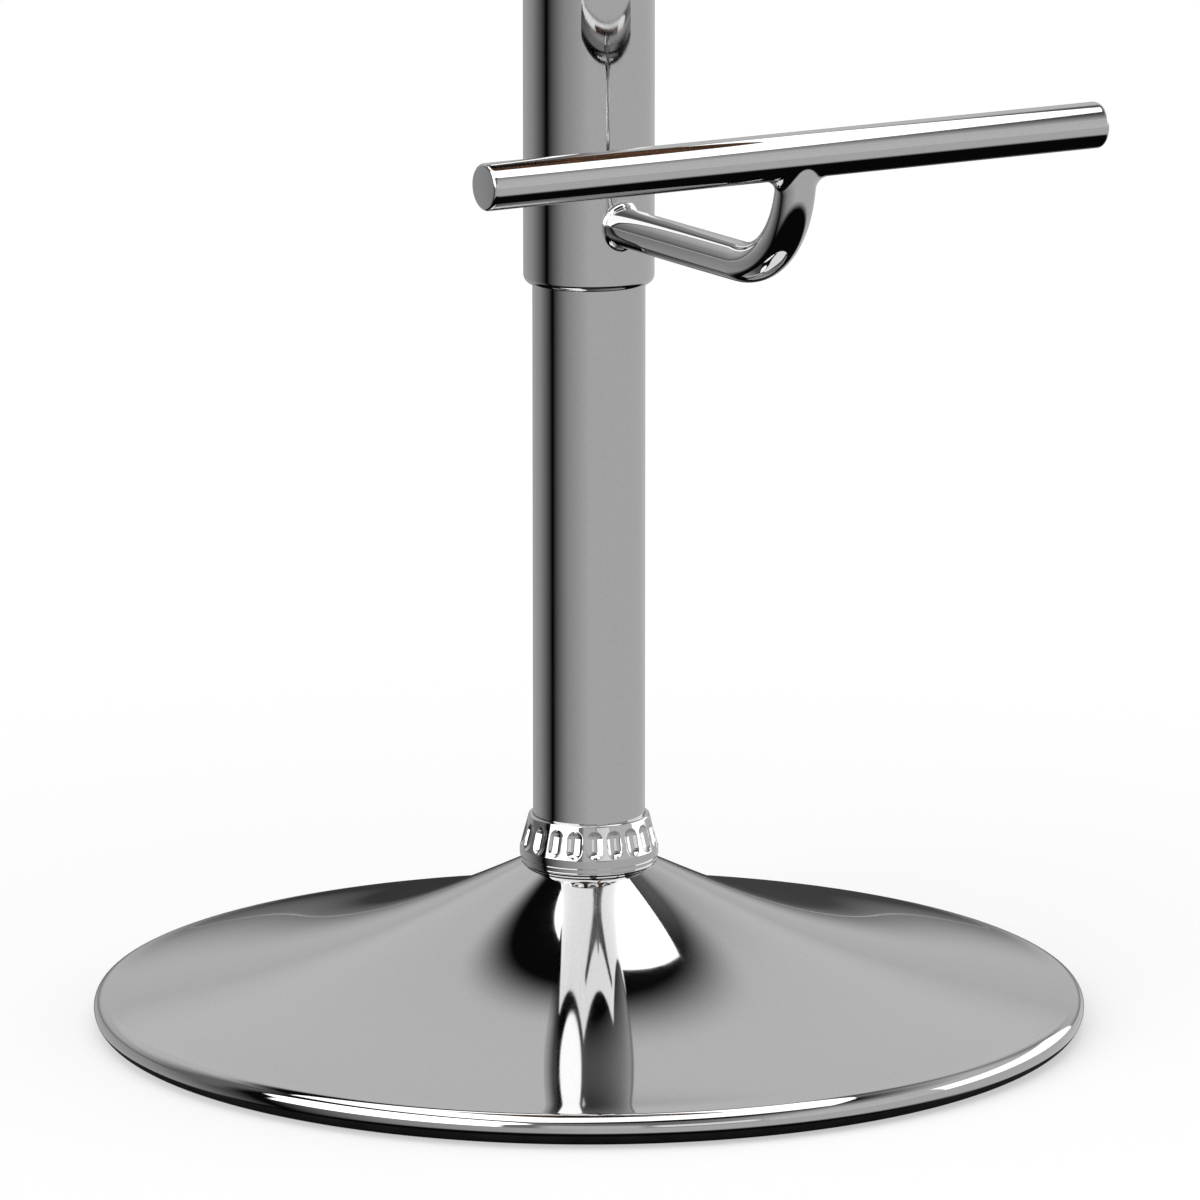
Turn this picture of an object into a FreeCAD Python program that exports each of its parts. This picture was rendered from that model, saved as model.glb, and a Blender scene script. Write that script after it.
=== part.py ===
import FreeCAD, Part
import math
import os
import re
import Sketcher
from FreeCAD import Placement, Rotation, Vector

os.makedirs("parts", exist_ok=True)
doc = FreeCAD.newDocument("bar_stool")

# Driving sizes in millimetres and degrees.
# Heights are measured from the floor, with the seat at its highest.
SIZES = {
    # trumpet base: the flare's outline from the neck to the crest of the rim
    "base_radius": 222.3, "rim_height": 8.7, "rim_upper_radius": 6.35, "rim_lower_radius": 8.0,
    "shell_wall": 1.5, "neck_radius": 30.0, "neck_height": 74.0, "neck_slope": 0.49,
    "cone_radius": 60.5, "cone_height": 59.4, "flare_radius": 100.0, "flare_height": 43.4,
    "skirt_radius": 150.0, "skirt_height": 29.2, "crest_inset": 15.8, "crest_height": 17.2,
    "crest_lean": 0.8, "rim_edge_angle": 20.0, "ring_inset": 2.3, "ring_width": 7.0, "ring_height": 4.0,
    "ring_grip": 1.5, "ring_grip_angle": 0.0,
    # hub and ballast
    "hub_wall": 5.0, "hub_gap": 0.35, "flange_radius": 62.0, "flange_bottom": 24.0,
    "flange_wall": 4.0, "ballast_radius": 150.0, "ballast_bottom": 7.0, "ballast_gap": 1.0,
    "ballast_bolt_circle": 46.0, "ballast_bolt_radius": 4.0, "ballast_head_width": 13.0,
    "ballast_head_height": 5.3, "counterbore_depth": 6.0, "counterbore_gap": 1.5, "bolt_gap": 0.4,
    # fluted trim collar
    "collar_gap": 0.2, "collar_top": 95.7, "collar_top_radius": 26.9, "collar_shoulder": 80.5,
    "collar_radius": 31.0, "collar_band_bottom": 77.3, "groove_depth": 1.0, "groove_height": 0.9,
    "bead_height": 1.3, "bead_step": 0.35, "flute_width": 7.6, "flute_length": 12.6,
    "flute_depth": 1.5, "flute_middle": 87.0, "flute_count": 20, "flute_turn": -7.7, "collar_round": 1.0,
    # fixed column
    "column_radius": 25.0, "column_wall": 1.5, "column_bottom": 14.0, "column_top": 470.0,
    "taper_height": 60.0, "taper_depth": 0.8, "floor_height": 20.0, "floor_wall": 4.0,
    "bush_length": 78.0, "bush_flange": 2.0,
    # thrust bearing
    "race_inner": 5.0, "race_radius": 14.0, "race_wall": 2.5, "ball_radius": 2.4, "ball_count": 12,
    "ball_circle": 10.0, "ball_gap": 0.1, "cage_wall": 1.6, "cage_gap": 0.3,
    # gas spring
    "rod_radius": 5.0, "rod_neck_radius": 4.0, "rod_end": 11.0, "running_gap": 0.1, "free_gap": 0.3,
    "washer_radius": 9.0, "washer_wall": 2.0, "clip_radius": 7.5, "clip_wall": 1.3, "clip_depth": 1.0,
    "stop_washer_radius": 15.0, "stop_radius": 13.0, "stop_waist": 10.5, "stop_height": 30.0,
    "piston_height": 14.0, "piston_gap": 0.2, "seal_height": 4.0, "seal_depth": 1.4,
    "tube_radius": 14.0, "tube_wall": 1.5, "tube_bottom": 285.0, "tube_top": 746.0, "tube_cap_wall": 3.0,
    "tube_mouth": 5.0, "tube_taper": 40.0, "tube_taper_depth": 0.7, "gland_height": 18.0,
    "liner_wall": 1.0, "liner_gap": 1.1, "valve_height": 24.0, "pin_radius": 3.0, "pin_stand": 6.0,
    "pin_length": 28.0,
    # sliding sleeve
    "sleeve_radius": 29.0, "sleeve_wall": 1.5, "sleeve_bottom": 337.0, "lip_height": 4.0,
    "lip_round": 3.6, "lip_gap": 0.25, "slide_bush_height": 20.0, "cap_height": 14.0,
    "sleeve_clearance": 4.0,
    # footrest
    "arm_radius": 8.75, "arm_height": 366.0, "arm_bend": 45.0, "arm_end_run": 0.5, "arm_root_round": 3.0,
    "arm_tip_round": 7.0, "bar_reach": 172.0, "bar_height": 418.8, "bar_radius": 10.1, "bar_wall": 1.5,
    "bar_length": 309.0, "plug_wall": 2.5, "plug_round": 1.6, "plug_depth": 12.0,
    # seat mechanism
    "socket_radius": 20.0, "socket_height": 38.0, "tube_stand": 1.0, "plate_wall": 3.0,
    "channel_height": 30.0, "channel_half": 48.0, "plate_half": 95.0, "plate_depth": 150.0,
    "bolt_half_x": 78.0, "bolt_half_y": 55.0, "seat_bolt_radius": 3.0, "seat_bolt_head": 6.0,
    "seat_bolt_head_height": 3.4, "lever_slot_height": 14.0, "lever_slot_width": 20.0,
    "bracket_half": 10.0, "bracket_wall": 2.5,
    "bracket_length": 20.0, "bracket_height": 18.0, "pivot_offset": 30.0, "pivot_radius": 3.0,
    "pivot_stand": 1.5, "lever_radius": 4.0, "lever_boss": 7.0, "lever_reach": 208.0,
    "lever_bend_start": 70.0, "lever_bend_end": 120.0, "lever_drop": 12.0, "lever_bend_radius": 25.0,
    "lever_tip": 5.0, "grip_radius": 7.0, "grip_length": 72.0, "grip_depth": 60.0, "grip_start": 14.0,
    "grip_end": 22.0, "grip_taper": 1.2, "grip_round": 2.3,
    # bent plywood shell
    "seat_wall": 12.0, "seat_width": 392.0, "back_top_width": 344.0, "seat_flat_front": 150.0,
    "seat_flat_rear": 105.0, "lip_bend_radius": 90.0, "lip_bend_angle": 25.0, "back_bend_radius": 60.0,
    "back_angle": 78.0, "back_length": 170.0, "front_corner": 75.0, "back_corner": 60.0,
    "tee_flange_radius": 9.0, "tee_flange_wall": 1.3, "tee_barrel_radius": 4.0, "tee_barrel": 9.0,
    # pads
    "board_wall": 4.0, "board_inset": 18.0, "pad_width": 356.0, "pad_front": 166.0, "pad_rear": 112.0,
    "pad_height": 46.0, "pad_corner": 62.0, "pad_gap": 0.3, "back_pad_width": 316.0,
    "back_pad_height": 144.0, "back_pad_thickness": 30.0, "back_pad_corner": 46.0,
    "back_pad_offset": 12.0, "pad_draw": 0.008, "pad_crown": 0.45, "pad_top_corner": 20.0,
    "board_draw": 0.002, "pad_screw_radius": 2.0, "pad_screw_head": 4.5, "pad_screw_head_height": 2.2,
    "pad_screw_length": 15.0, "seat_screw_x": 125.0, "seat_screw_y": 60.0, "back_screw_x": 100.0,
    "back_screw_z": 35.0,
}

# Sizes that follow from the driving ones.
FORMULAS = {
    "column_inner": "column_radius - column_wall",
    "hub_radius": "column_radius + hub_wall",
    "taper_top": "column_bottom + taper_height",
    "shell_bore": "column_radius + collar_gap",
    "neck_drop": "shell_wall * sqrt(1 + neck_slope ^ 2)",
    "floor_top": "floor_height + floor_wall",
    "ball_bottom": "floor_top + race_wall",
    "ball_middle": "ball_bottom + ball_radius",
    "upper_race_bottom": "ball_bottom + 2 * ball_radius + ball_gap",
    "upper_race_top": "upper_race_bottom + race_wall",
    "stop_bottom": "upper_race_top + washer_wall",
    "washer_top": "floor_height - free_gap",
    "clip_top": "washer_top - washer_wall",
    "tube_inner": "tube_radius - tube_wall",
    "liner_outer": "tube_inner - liner_gap",
    "liner_inner": "liner_outer - liner_wall",
    "gland_top": "tube_bottom + gland_height",
    "piston_bottom": "gland_top + free_gap",
    "piston_top": "piston_bottom + piston_height",
    "piston_radius": "liner_inner - piston_gap",
    "seal_radius": "liner_inner - running_gap",
    "seal_bottom": "piston_bottom + (piston_height - seal_height) / 2",
    "tube_tip": "tube_radius - tube_taper_depth",
    "tube_shoulder": "tube_top - tube_taper",
    "valve_top": "tube_top - tube_cap_wall",
    "valve_bottom": "valve_top - valve_height",
    "valve_radius": "tube_tip - tube_wall",
    "pin_top": "tube_top + pin_stand",
    "sleeve_inner": "sleeve_radius - sleeve_wall",
    "plate_bottom": "tube_top - plate_wall - tube_stand",
    "sleeve_top": "plate_bottom - sleeve_clearance",
    "socket_bottom": "plate_bottom - socket_height",
    "seat_bottom": "plate_bottom + channel_height",
    "seat_top": "seat_bottom + seat_wall",
    "lever_height": "pin_top + free_gap + lever_radius",
    "bush_bottom": "column_top - bush_length",
    "bar_half": "bar_length / 2 - plug_wall",
    "bar_inner": "bar_radius - bar_wall",
    "crest_radius": "base_radius - crest_inset",
    "rim_lip_radius": "base_radius - rim_lower_radius",
    "rim_inner_radius": "rim_lower_radius - shell_wall",
    "ring_grip_radius": "rim_inner_radius - ring_grip",
    "ring_outer": "rim_lip_radius - ring_inset",
    "flange_top": "flange_bottom + flange_wall",
    "ballast_head_bottom": "ballast_bottom + counterbore_depth - ballast_head_height",
}

sheet = doc.addObject("Spreadsheet::Sheet", "sizes")
for row, (alias, size) in enumerate(SIZES.items(), 1):
    sheet.set(f"A{row}", alias)
    sheet.set(f"B{row}", str(size))
    sheet.setAlias(f"B{row}", alias)
doc.recompute()


def full(text):
    """Write a formula's names out as cells of the sheet."""
    def cell(match):
        name = match.group(0)
        if name in FORMULAS:
            return "(" + full(FORMULAS[name]) + ")"
        return "sizes." + name if name in SIZES else name
    return re.sub(r"[a-z][a-z_]*", cell, str(text))


def value(text):
    return float(sheet.evalExpression(full(text)))


def origin_plane(body, role):
    return next(plane for plane in body.Origin.OriginFeatures if plane.Role == role)


def new_sketch(body, name, role):
    sketch = body.newObject("Sketcher::SketchObject", name)
    sketch.AttachmentSupport = [(origin_plane(body, role), "")]
    sketch.MapMode = "FlatFace"
    return sketch


def place_point(sketch, geometry, point, x, y):
    """Tie a point of the sketch to two formulas."""
    for kind, text, axis in (("DistanceX", x, -2), ("DistanceY", y, -1)):
        size = value(text)
        if abs(size) < 1e-9:
            sketch.addConstraint(Sketcher.Constraint("PointOnObject", geometry, point, axis))
        else:
            index = sketch.addConstraint(Sketcher.Constraint(kind, -1, 1, geometry, point, size))
            sketch.setExpression(f"Constraints[{index}]", full(text))


def draw_outline(sketch, outline):
    corners = [Vector(value(x), value(y), 0) for x, y in outline]
    count = len(corners)
    first = sketch.GeometryCount
    for index in range(count):
        sketch.addGeometry(Part.LineSegment(corners[index], corners[(index + 1) % count]))
    for index in range(count):
        after = first + (index + 1) % count
        sketch.addConstraint(Sketcher.Constraint("Coincident", first + index, 2, after, 1))
    for index, (x, y) in enumerate(outline):
        place_point(sketch, first + index, 1, x, y)


def draw_circle(sketch, x, y, radius):
    index = sketch.addGeometry(Part.Circle(Vector(value(x), value(y), 0), Vector(0, 0, 1), value(radius)))
    place_point(sketch, index, 3, x, y)
    bound = sketch.addConstraint(Sketcher.Constraint("Radius", index, value(radius)))
    sketch.setExpression(f"Constraints[{bound}]", full(radius))


def turned(label, outline, turn=360):
    """A body turned about its own Z axis from an outline of radius and height."""
    body = doc.addObject("PartDesign::Body", label)
    sketch = new_sketch(body, label + "_outline", "XZ_Plane")
    draw_outline(sketch, outline)
    feature = body.newObject("PartDesign::Revolution", label + "_turning")
    feature.Profile = sketch
    feature.ReferenceAxis = (sketch, ["V_Axis"])
    feature.Angle = turn
    sketch.Visibility = False
    return body


def round_rings(body, rings):
    """Round the ring edges found at each radius and height by each ring's own radius."""
    for number, (radius, height, rounding) in enumerate(rings):
        doc.recompute()
        names = []
        for index, edge in enumerate(body.Tip.Shape.Edges, 1):
            if edge.Curve.TypeId == "Part::GeomCircle":
                same_radius = abs(edge.Curve.Radius - value(radius)) < 0.01
                same_height = abs(edge.Curve.Center.z - value(height)) < 0.01
                if same_radius and same_height:
                    names.append(f"Edge{index}")
        base = body.Tip
        fillet = body.newObject("PartDesign::Fillet", f"{body.Label}_round_{number}")
        fillet.Base = (base, names)
        fillet.setExpression("Radius", full(rounding))
    return body


def padded(label, role, outline, length, reversed_pad=False, both_ways=True):
    """A body padded from an outline on one of its origin planes."""
    body = doc.addObject("PartDesign::Body", label)
    sketch = new_sketch(body, label + "_outline", role)
    draw_outline(sketch, outline)
    pad = body.newObject("PartDesign::Pad", label + "_pad")
    pad.Profile = sketch
    pad.Midplane = both_ways
    pad.Reversed = reversed_pad
    pad.setExpression("Length", full(length))
    return body


def drilled(body, role, centres, radius, name):
    """Holes right through a body, square to one of its origin planes."""
    sketch = new_sketch(body, name + "_centres", role)
    for x, y in centres:
        draw_circle(sketch, x, y, radius)
    pocket = body.newObject("PartDesign::Pocket", name)
    pocket.Profile = sketch
    pocket.Midplane = True
    pocket.Type = "ThroughAll"
    return body


def four_corners(x, y):
    return [(f"{sx} * {x}", f"{sy} * {y}") for sx in (-1, 1) for sy in (-1, 1)]


def solid_feature(label, shape):
    feature = doc.addObject("Part::Feature", label)
    feature.Shape = shape
    return feature


def arc_about(centre, radius, start, end):
    """Arc in the YZ plane about a centre, between two angles in degrees from +Y towards +Z."""
    turns = [math.radians(angle) for angle in (start, (start + end) / 2, end)]
    points = [centre + Vector(0, math.cos(turn), math.sin(turn)) * radius for turn in turns]
    return Part.Arc(*points).toShape()


def bent_rod(points, radius, bend):
    """A round rod along straight runs joined by tangent arcs."""
    edges = []
    start = points[0]
    for before, corner, after in zip(points, points[1:], points[2:]):
        inward = (before - corner).normalize()
        outward = (after - corner).normalize()
        half_turn = inward.getAngle(outward) / 2
        setback = bend / math.tan(half_turn)
        middle = (inward + outward).normalize()
        centre = corner + middle * (bend / math.sin(half_turn))
        first = corner + inward * setback
        last = corner + outward * setback
        edges.append(Part.LineSegment(start, first).toShape())
        edges.append(Part.Arc(first, centre - middle * bend, last).toShape())
        start = last
    edges.append(Part.LineSegment(start, points[-1]).toShape())
    path = Part.Wire(edges)
    section = Part.Wire(Part.Circle(points[0], points[1] - points[0], radius).toShape())
    return path.makePipeShell([section], True, False)


# Trumpet base, spun from sheet with a rolled-in rim.

def flare_curve(offset):
    """The flare's outline from the column to the rim, moved inward by an offset."""
    rim_centre = Vector(value("base_radius - rim_upper_radius"), 0, value("rim_height"))
    outline = [(value(r), value(z)) for r, z in (
        ("shell_bore", "neck_height + (neck_radius - shell_bore) * neck_slope"),
        ("neck_radius", "neck_height"), ("cone_radius", "cone_height"), ("flare_radius", "flare_height"),
        ("skirt_radius", "skirt_height"), ("crest_radius", "crest_height"))]
    last_slope = (outline[-2][1] - outline[-1][1]) / (outline[-1][0] - outline[-2][0])
    lean = math.atan(last_slope * value("crest_lean"))
    rim_start = rim_centre + Vector(math.sin(lean), 0, math.cos(lean)) * value("rim_upper_radius")
    points = [Vector(r, 0, z) for r, z in outline] + [rim_start]
    curve = Part.BSplineCurve()
    curve.interpolate(Points=points, InitialTangent=Vector(1, 0, -value("neck_slope")),
                      FinalTangent=Vector(math.cos(lean), 0, -math.sin(lean)))
    if offset:
        steps = 16
        parameters = [curve.FirstParameter + (curve.LastParameter - curve.FirstParameter) * step / steps
                      for step in range(steps + 1)]
        moved = []
        for parameter in parameters:
            tangent = curve.tangent(parameter)[0]
            moved.append(curve.value(parameter) + Vector(tangent.z, 0, -tangent.x) * offset)
        moved[0].x = points[0].x
        curve = Part.BSplineCurve()
        curve.interpolate(moved)
    return curve, lean, rim_centre


def rim_point(centre, radius, angle):
    return centre + Vector(math.cos(angle), 0, math.sin(angle)) * radius


def rim_arc(centre, radius, start, end):
    points = [rim_point(centre, radius, angle) for angle in (start, (start + end) / 2, end)]
    return Part.Arc(*points).toShape()


def straight(start, end):
    return Part.LineSegment(start, end).toShape()


def turned_face(edges):
    face = Part.Face(Part.Wire(Part.__sortEdges__(edges)))
    return face.revolve(Vector(0, 0, 0), Vector(0, 0, 1), 360)


def base_shell():
    """Spun sheet: the flare, then a rim rolled under to the edge that the rubber ring grips."""
    wall = value("shell_wall")
    outer, lean, upper_centre = flare_curve(0)
    inner, lean, upper_centre = flare_curve(wall)
    lower_centre = Vector(value("rim_lip_radius"), 0, value("rim_height"))
    upper = value("rim_upper_radius")
    lower = value("rim_lower_radius")
    crest = math.pi / 2 - lean
    edge = -math.radians(value("rim_edge_angle"))
    return turned_face([
        outer.toShape(),
        rim_arc(upper_centre, upper, crest, 0),
        rim_arc(lower_centre, lower, 0, edge),
        straight(rim_point(lower_centre, lower, edge), rim_point(lower_centre, lower - wall, edge)),
        rim_arc(lower_centre, lower - wall, edge, 0),
        rim_arc(upper_centre, upper - wall, 0, crest),
        inner.toShape(),
        straight(inner.StartPoint, outer.StartPoint),
    ])


solid_feature("base_shell", base_shell())


def floor_ring():
    """Rubber channel pressed onto the shell's edge, with the foot that stands on the floor."""
    centre = Vector(value("rim_lip_radius"), 0, value("rim_height"))
    outer = value("rim_lower_radius")
    inner = value("rim_inner_radius")
    grip = value("ring_grip_radius")
    edge = -math.radians(value("rim_edge_angle"))
    grip_end = -math.radians(value("ring_grip_angle"))
    down = -math.pi / 2
    foot_outer = Vector(value("ring_outer"), 0, 0)
    foot_inner = foot_outer - Vector(value("ring_width"), 0, 0)
    foot_top = foot_inner + Vector(0, 0, value("ring_height"))
    return turned_face([
        rim_arc(centre, outer, edge, down),
        straight(rim_point(centre, outer, down), foot_outer),
        straight(foot_outer, foot_inner),
        straight(foot_inner, foot_top),
        straight(foot_top, rim_point(centre, grip, down)),
        rim_arc(centre, grip, down, grip_end),
        straight(rim_point(centre, grip, grip_end), rim_point(centre, inner, grip_end)),
        rim_arc(centre, inner, grip_end, edge),
        straight(rim_point(centre, inner, edge), rim_point(centre, outer, edge)),
    ])


solid_feature("floor_ring", floor_ring())

# Hub, ballast and the bolts between them.
hub = turned("hub_socket", [
    ("column_radius - taper_depth", "column_bottom"), ("hub_radius", "column_bottom"),
    ("hub_radius", "flange_bottom"), ("flange_radius", "flange_bottom"), ("flange_radius", "flange_top"),
    ("hub_radius", "flange_top"), ("hub_radius", "neck_height + (neck_radius - hub_radius) * neck_slope"
     " - neck_drop - hub_gap"),
    ("column_radius", "neck_height + (neck_radius - column_radius) * neck_slope - neck_drop - hub_gap"),
    ("column_radius", "taper_top")])
quarter_turns = [("ballast_bolt_circle", 0), ("-1 * ballast_bolt_circle", 0), (0, "ballast_bolt_circle"),
                 (0, "-1 * ballast_bolt_circle")]
drilled(hub, "XY_Plane", quarter_turns, "ballast_bolt_radius", "hub_bolt_holes")

ballast = turned("ballast_disc", [
    ("hub_radius + ballast_gap", "ballast_bottom"), ("ballast_radius", "ballast_bottom"),
    ("ballast_radius", "flange_bottom"), ("hub_radius + ballast_gap", "flange_bottom")])
drilled(ballast, "XY_Plane", quarter_turns, "ballast_bolt_radius + bolt_gap", "ballast_bolt_holes")
counterbores = new_sketch(ballast, "counterbore_centres", "XY_Plane")
for x, y in quarter_turns:
    draw_circle(counterbores, x, y, "ballast_head_width / 2 + counterbore_gap")
pocket = ballast.newObject("PartDesign::Pocket", "counterbores")
pocket.Profile = counterbores
pocket.Reversed = True
pocket.setExpression("Length", full("ballast_bottom + counterbore_depth"))


def ballast_bolts():
    bottom = value("ballast_head_bottom")
    head_top = value("ballast_bottom + counterbore_depth")
    bolts = []
    for x, y in quarter_turns:
        centre = Vector(value(x), value(y), bottom)
        corner_radius = value("ballast_head_width") / math.sqrt(3)
        turns = [number * math.pi / 3 for number in range(7)]
        corners = [centre + Vector(math.cos(turn), math.sin(turn), 0) * corner_radius for turn in turns]
        head = Part.Face(Part.makePolygon(corners)).extrude(Vector(0, 0, head_top - bottom))
        shank = Part.makeCylinder(value("ballast_bolt_radius"), value("flange_top") - bottom, centre)
        bolts.append(head.fuse(shank))
    return Part.makeCompound(bolts)


solid_feature("ballast_bolts", ballast_bolts())

# Fixed column with its foot plate and top bush.
stand_tube = turned("stand_tube", [
    ("column_inner - taper_depth", "column_bottom"), ("column_radius - taper_depth", "column_bottom"),
    ("column_radius", "taper_top"), ("column_radius", "column_top"), ("column_inner", "column_top"),
    ("column_inner", "taper_top")])
turned("tube_floor", [
    ("rod_neck_radius + free_gap", "floor_height"),
    ("column_inner - taper_depth * (taper_top - floor_height) / taper_height", "floor_height"),
    ("column_inner - taper_depth * (taper_top - floor_top) / taper_height", "floor_top"),
    ("rod_neck_radius + free_gap", "floor_top")])
turned("guide_bush", [
    ("tube_radius + running_gap", "bush_bottom"), ("column_inner", "bush_bottom"),
    ("column_inner", "column_top"), ("column_radius", "column_top"),
    ("column_radius", "column_top + bush_flange"), ("tube_radius + running_gap", "column_top + bush_flange")])

# Fluted trim collar.
collar = turned("trim_collar", [
    ("shell_bore", "neck_height + (neck_radius - shell_bore) * neck_slope"),
    ("collar_radius - 2 * bead_step",
     "neck_height + (neck_radius - collar_radius + 2 * bead_step) * neck_slope"),
    ("collar_radius - 2 * bead_step", "collar_band_bottom - 2 * groove_height - bead_height"),
    ("collar_radius - groove_depth - bead_step", "collar_band_bottom - 2 * groove_height - bead_height"),
    ("collar_radius - groove_depth - bead_step", "collar_band_bottom - groove_height - bead_height"),
    ("collar_radius - bead_step", "collar_band_bottom - groove_height - bead_height"),
    ("collar_radius - bead_step", "collar_band_bottom - groove_height"),
    ("collar_radius - groove_depth", "collar_band_bottom - groove_height"),
    ("collar_radius - groove_depth", "collar_band_bottom"),
    ("collar_radius", "collar_band_bottom"), ("collar_radius", "collar_shoulder"),
    ("collar_top_radius", "collar_top"), ("shell_bore", "collar_top")])
round_rings(collar, [("collar_top_radius", "collar_top", "collar_round")])


def flute_groove():
    """One flute: a capsule sunk into the cone, turned about an axis that runs along the cone."""
    half_width = value("flute_width") / 2
    depth = value("flute_depth")
    radius = (half_width ** 2 + depth ** 2) / (2 * depth)
    foot = Vector(value("collar_radius"), value("collar_shoulder"), 0)
    head = Vector(value("collar_top_radius"), value("collar_top"), 0)
    share = value("(flute_middle - collar_shoulder) / (collar_top - collar_shoulder)")
    surface = foot + (head - foot) * share
    rise = (head - foot).normalize()
    out = Vector(rise.y, -rise.x, 0)
    middle = surface + out * (radius - depth)
    half_length = value("flute_length") / 2 - half_width
    top = middle + rise * half_length
    bottom = middle - rise * half_length
    sketch = new_sketch(collar, "flute_outline", "XZ_Plane")
    along = rise * radius
    across = out * radius
    corner = math.sqrt(0.5)
    sketch.addGeometry(Part.LineSegment(bottom - along, top + along))
    sketch.addGeometry(Part.Arc(top + along, top + (along - across) * corner, top - across))
    sketch.addGeometry(Part.LineSegment(top - across, bottom - across))
    sketch.addGeometry(Part.Arc(bottom - across, bottom - (along + across) * corner, bottom - along))
    sketch.addGeometry(Part.LineSegment(bottom, top), True)
    groove = collar.newObject("PartDesign::Groove", "flute")
    groove.Profile = sketch
    groove.ReferenceAxis = (sketch, ["Axis0"])
    groove.Angle = 360
    return groove


flute = flute_groove()
pattern = collar.newObject("PartDesign::PolarPattern", "flutes")
pattern.Originals = [flute]
pattern.Axis = (flute.Profile[0], ["V_Axis"])
pattern.Angle = 360
pattern.setExpression("Occurrences", full("flute_count"))
collar.Tip = pattern
collar.Placement = Placement(Vector(), Rotation(Vector(0, 0, 1), value("flute_turn")))
collar.setExpression("Placement.Rotation.Angle", full("flute_turn"))

# Thrust bearing: lower race and balls stand still, the upper race turns with the rod.
turned("lower_race", [("race_inner", "floor_top"), ("race_radius", "floor_top"),
                      ("race_radius", "ball_bottom"), ("race_inner", "ball_bottom")])
turned("upper_race", [("rod_neck_radius", "upper_race_bottom"), ("race_radius", "upper_race_bottom"),
                      ("race_radius", "upper_race_top"), ("rod_neck_radius", "upper_race_top")])
ball_angles = [2 * math.pi * index / int(value("ball_count")) for index in range(int(value("ball_count")))]


def ball_centres():
    return [Vector(value("ball_circle") * math.cos(angle), value("ball_circle") * math.sin(angle),
                   value("ball_middle")) for angle in ball_angles]


def bearing_cage():
    wall = value("cage_wall")
    inner = value("race_inner + cage_gap")
    outer = value("race_radius - cage_gap")
    bottom = Vector(0, 0, value("ball_middle") - wall / 2)
    ring = Part.makeCylinder(outer, wall, bottom).cut(Part.makeCylinder(inner, wall, bottom))
    for centre in ball_centres():
        pocket_bottom = Vector(centre.x, centre.y, bottom.z)
        ring = ring.cut(Part.makeCylinder(value("ball_radius + ball_gap"), wall, pocket_bottom))
    return ring


solid_feature("bearing_balls", Part.makeCompound(
    [Part.makeSphere(value("ball_radius"), centre) for centre in ball_centres()]))
solid_feature("bearing_cage", bearing_cage())

# Piston rod with what turns with it.
turned("piston_rod", [
    (0, "rod_end"), ("rod_neck_radius", "rod_end"), ("rod_neck_radius", "clip_top - clip_wall"),
    ("rod_neck_radius - clip_depth", "clip_top - clip_wall"), ("rod_neck_radius - clip_depth", "clip_top"),
    ("rod_neck_radius", "clip_top"), ("rod_neck_radius", "upper_race_top"),
    ("rod_radius", "upper_race_top"), ("rod_radius", "piston_bottom"), ("rod_neck_radius", "piston_bottom"),
    ("rod_neck_radius", "piston_top"), (0, "piston_top")])
turned("rod_washer", [("rod_neck_radius", "clip_top"), ("washer_radius", "clip_top"),
                      ("washer_radius", "washer_top"), ("rod_neck_radius", "washer_top")])
turned("retaining_clip", [
    ("rod_neck_radius - clip_depth", "clip_top - clip_wall"), ("clip_radius", "clip_top - clip_wall"),
    ("clip_radius", "clip_top"), ("rod_neck_radius - clip_depth", "clip_top")], turn=280)
turned("bump_washer", [("rod_radius", "upper_race_top"), ("stop_washer_radius", "upper_race_top"),
                       ("stop_washer_radius", "stop_bottom"), ("rod_radius", "stop_bottom")])
turned("bump_stop", [
    ("rod_radius", "stop_bottom"), ("stop_radius", "stop_bottom"),
    ("stop_radius", "stop_bottom + stop_height / 3"), ("stop_waist", "stop_bottom + stop_height / 2"),
    ("stop_radius", "stop_bottom + 2 * stop_height / 3"), ("stop_waist", "stop_bottom + stop_height"),
    ("rod_radius", "stop_bottom + stop_height")])
turned("piston", [
    ("rod_neck_radius", "piston_bottom"), ("piston_radius", "piston_bottom"),
    ("piston_radius", "seal_bottom"), ("piston_radius - seal_depth", "seal_bottom"),
    ("piston_radius - seal_depth", "seal_bottom + seal_height"),
    ("piston_radius", "seal_bottom + seal_height"), ("piston_radius", "piston_top"),
    ("rod_neck_radius", "piston_top")])
turned("piston_seal", [
    ("piston_radius - seal_depth", "seal_bottom"), ("seal_radius", "seal_bottom"),
    ("seal_radius", "seal_bottom + seal_height"),
    ("piston_radius - seal_depth", "seal_bottom + seal_height")])

# Gas spring tube with what is sealed inside it.
turned("pressure_tube", [
    ("tube_inner", "tube_bottom"), ("tube_radius", "tube_bottom"), ("tube_radius", "tube_shoulder"),
    ("tube_tip", "tube_top"), ("tube_mouth", "tube_top"), ("tube_mouth", "valve_top"),
    ("valve_radius", "valve_top"), ("valve_radius", "valve_bottom"), ("tube_inner", "tube_shoulder")])
turned("rod_gland", [("rod_radius + running_gap", "tube_bottom"), ("tube_inner", "tube_bottom"),
                     ("tube_inner", "gland_top"), ("rod_radius + running_gap", "gland_top")])
turned("gas_cylinder", [("liner_inner", "gland_top"), ("liner_outer", "gland_top"),
                        ("liner_outer", "valve_bottom"), ("liner_inner", "valve_bottom")])
turned("valve_body", [("pin_radius + running_gap", "valve_bottom"), ("valve_radius", "valve_bottom"),
                      ("valve_radius", "valve_top"), ("pin_radius + running_gap", "valve_top")])
turned("release_pin", [(0, "pin_top - pin_length"), ("pin_radius", "pin_top - pin_length"),
                       ("pin_radius", "pin_top"), (0, "pin_top")])

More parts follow.
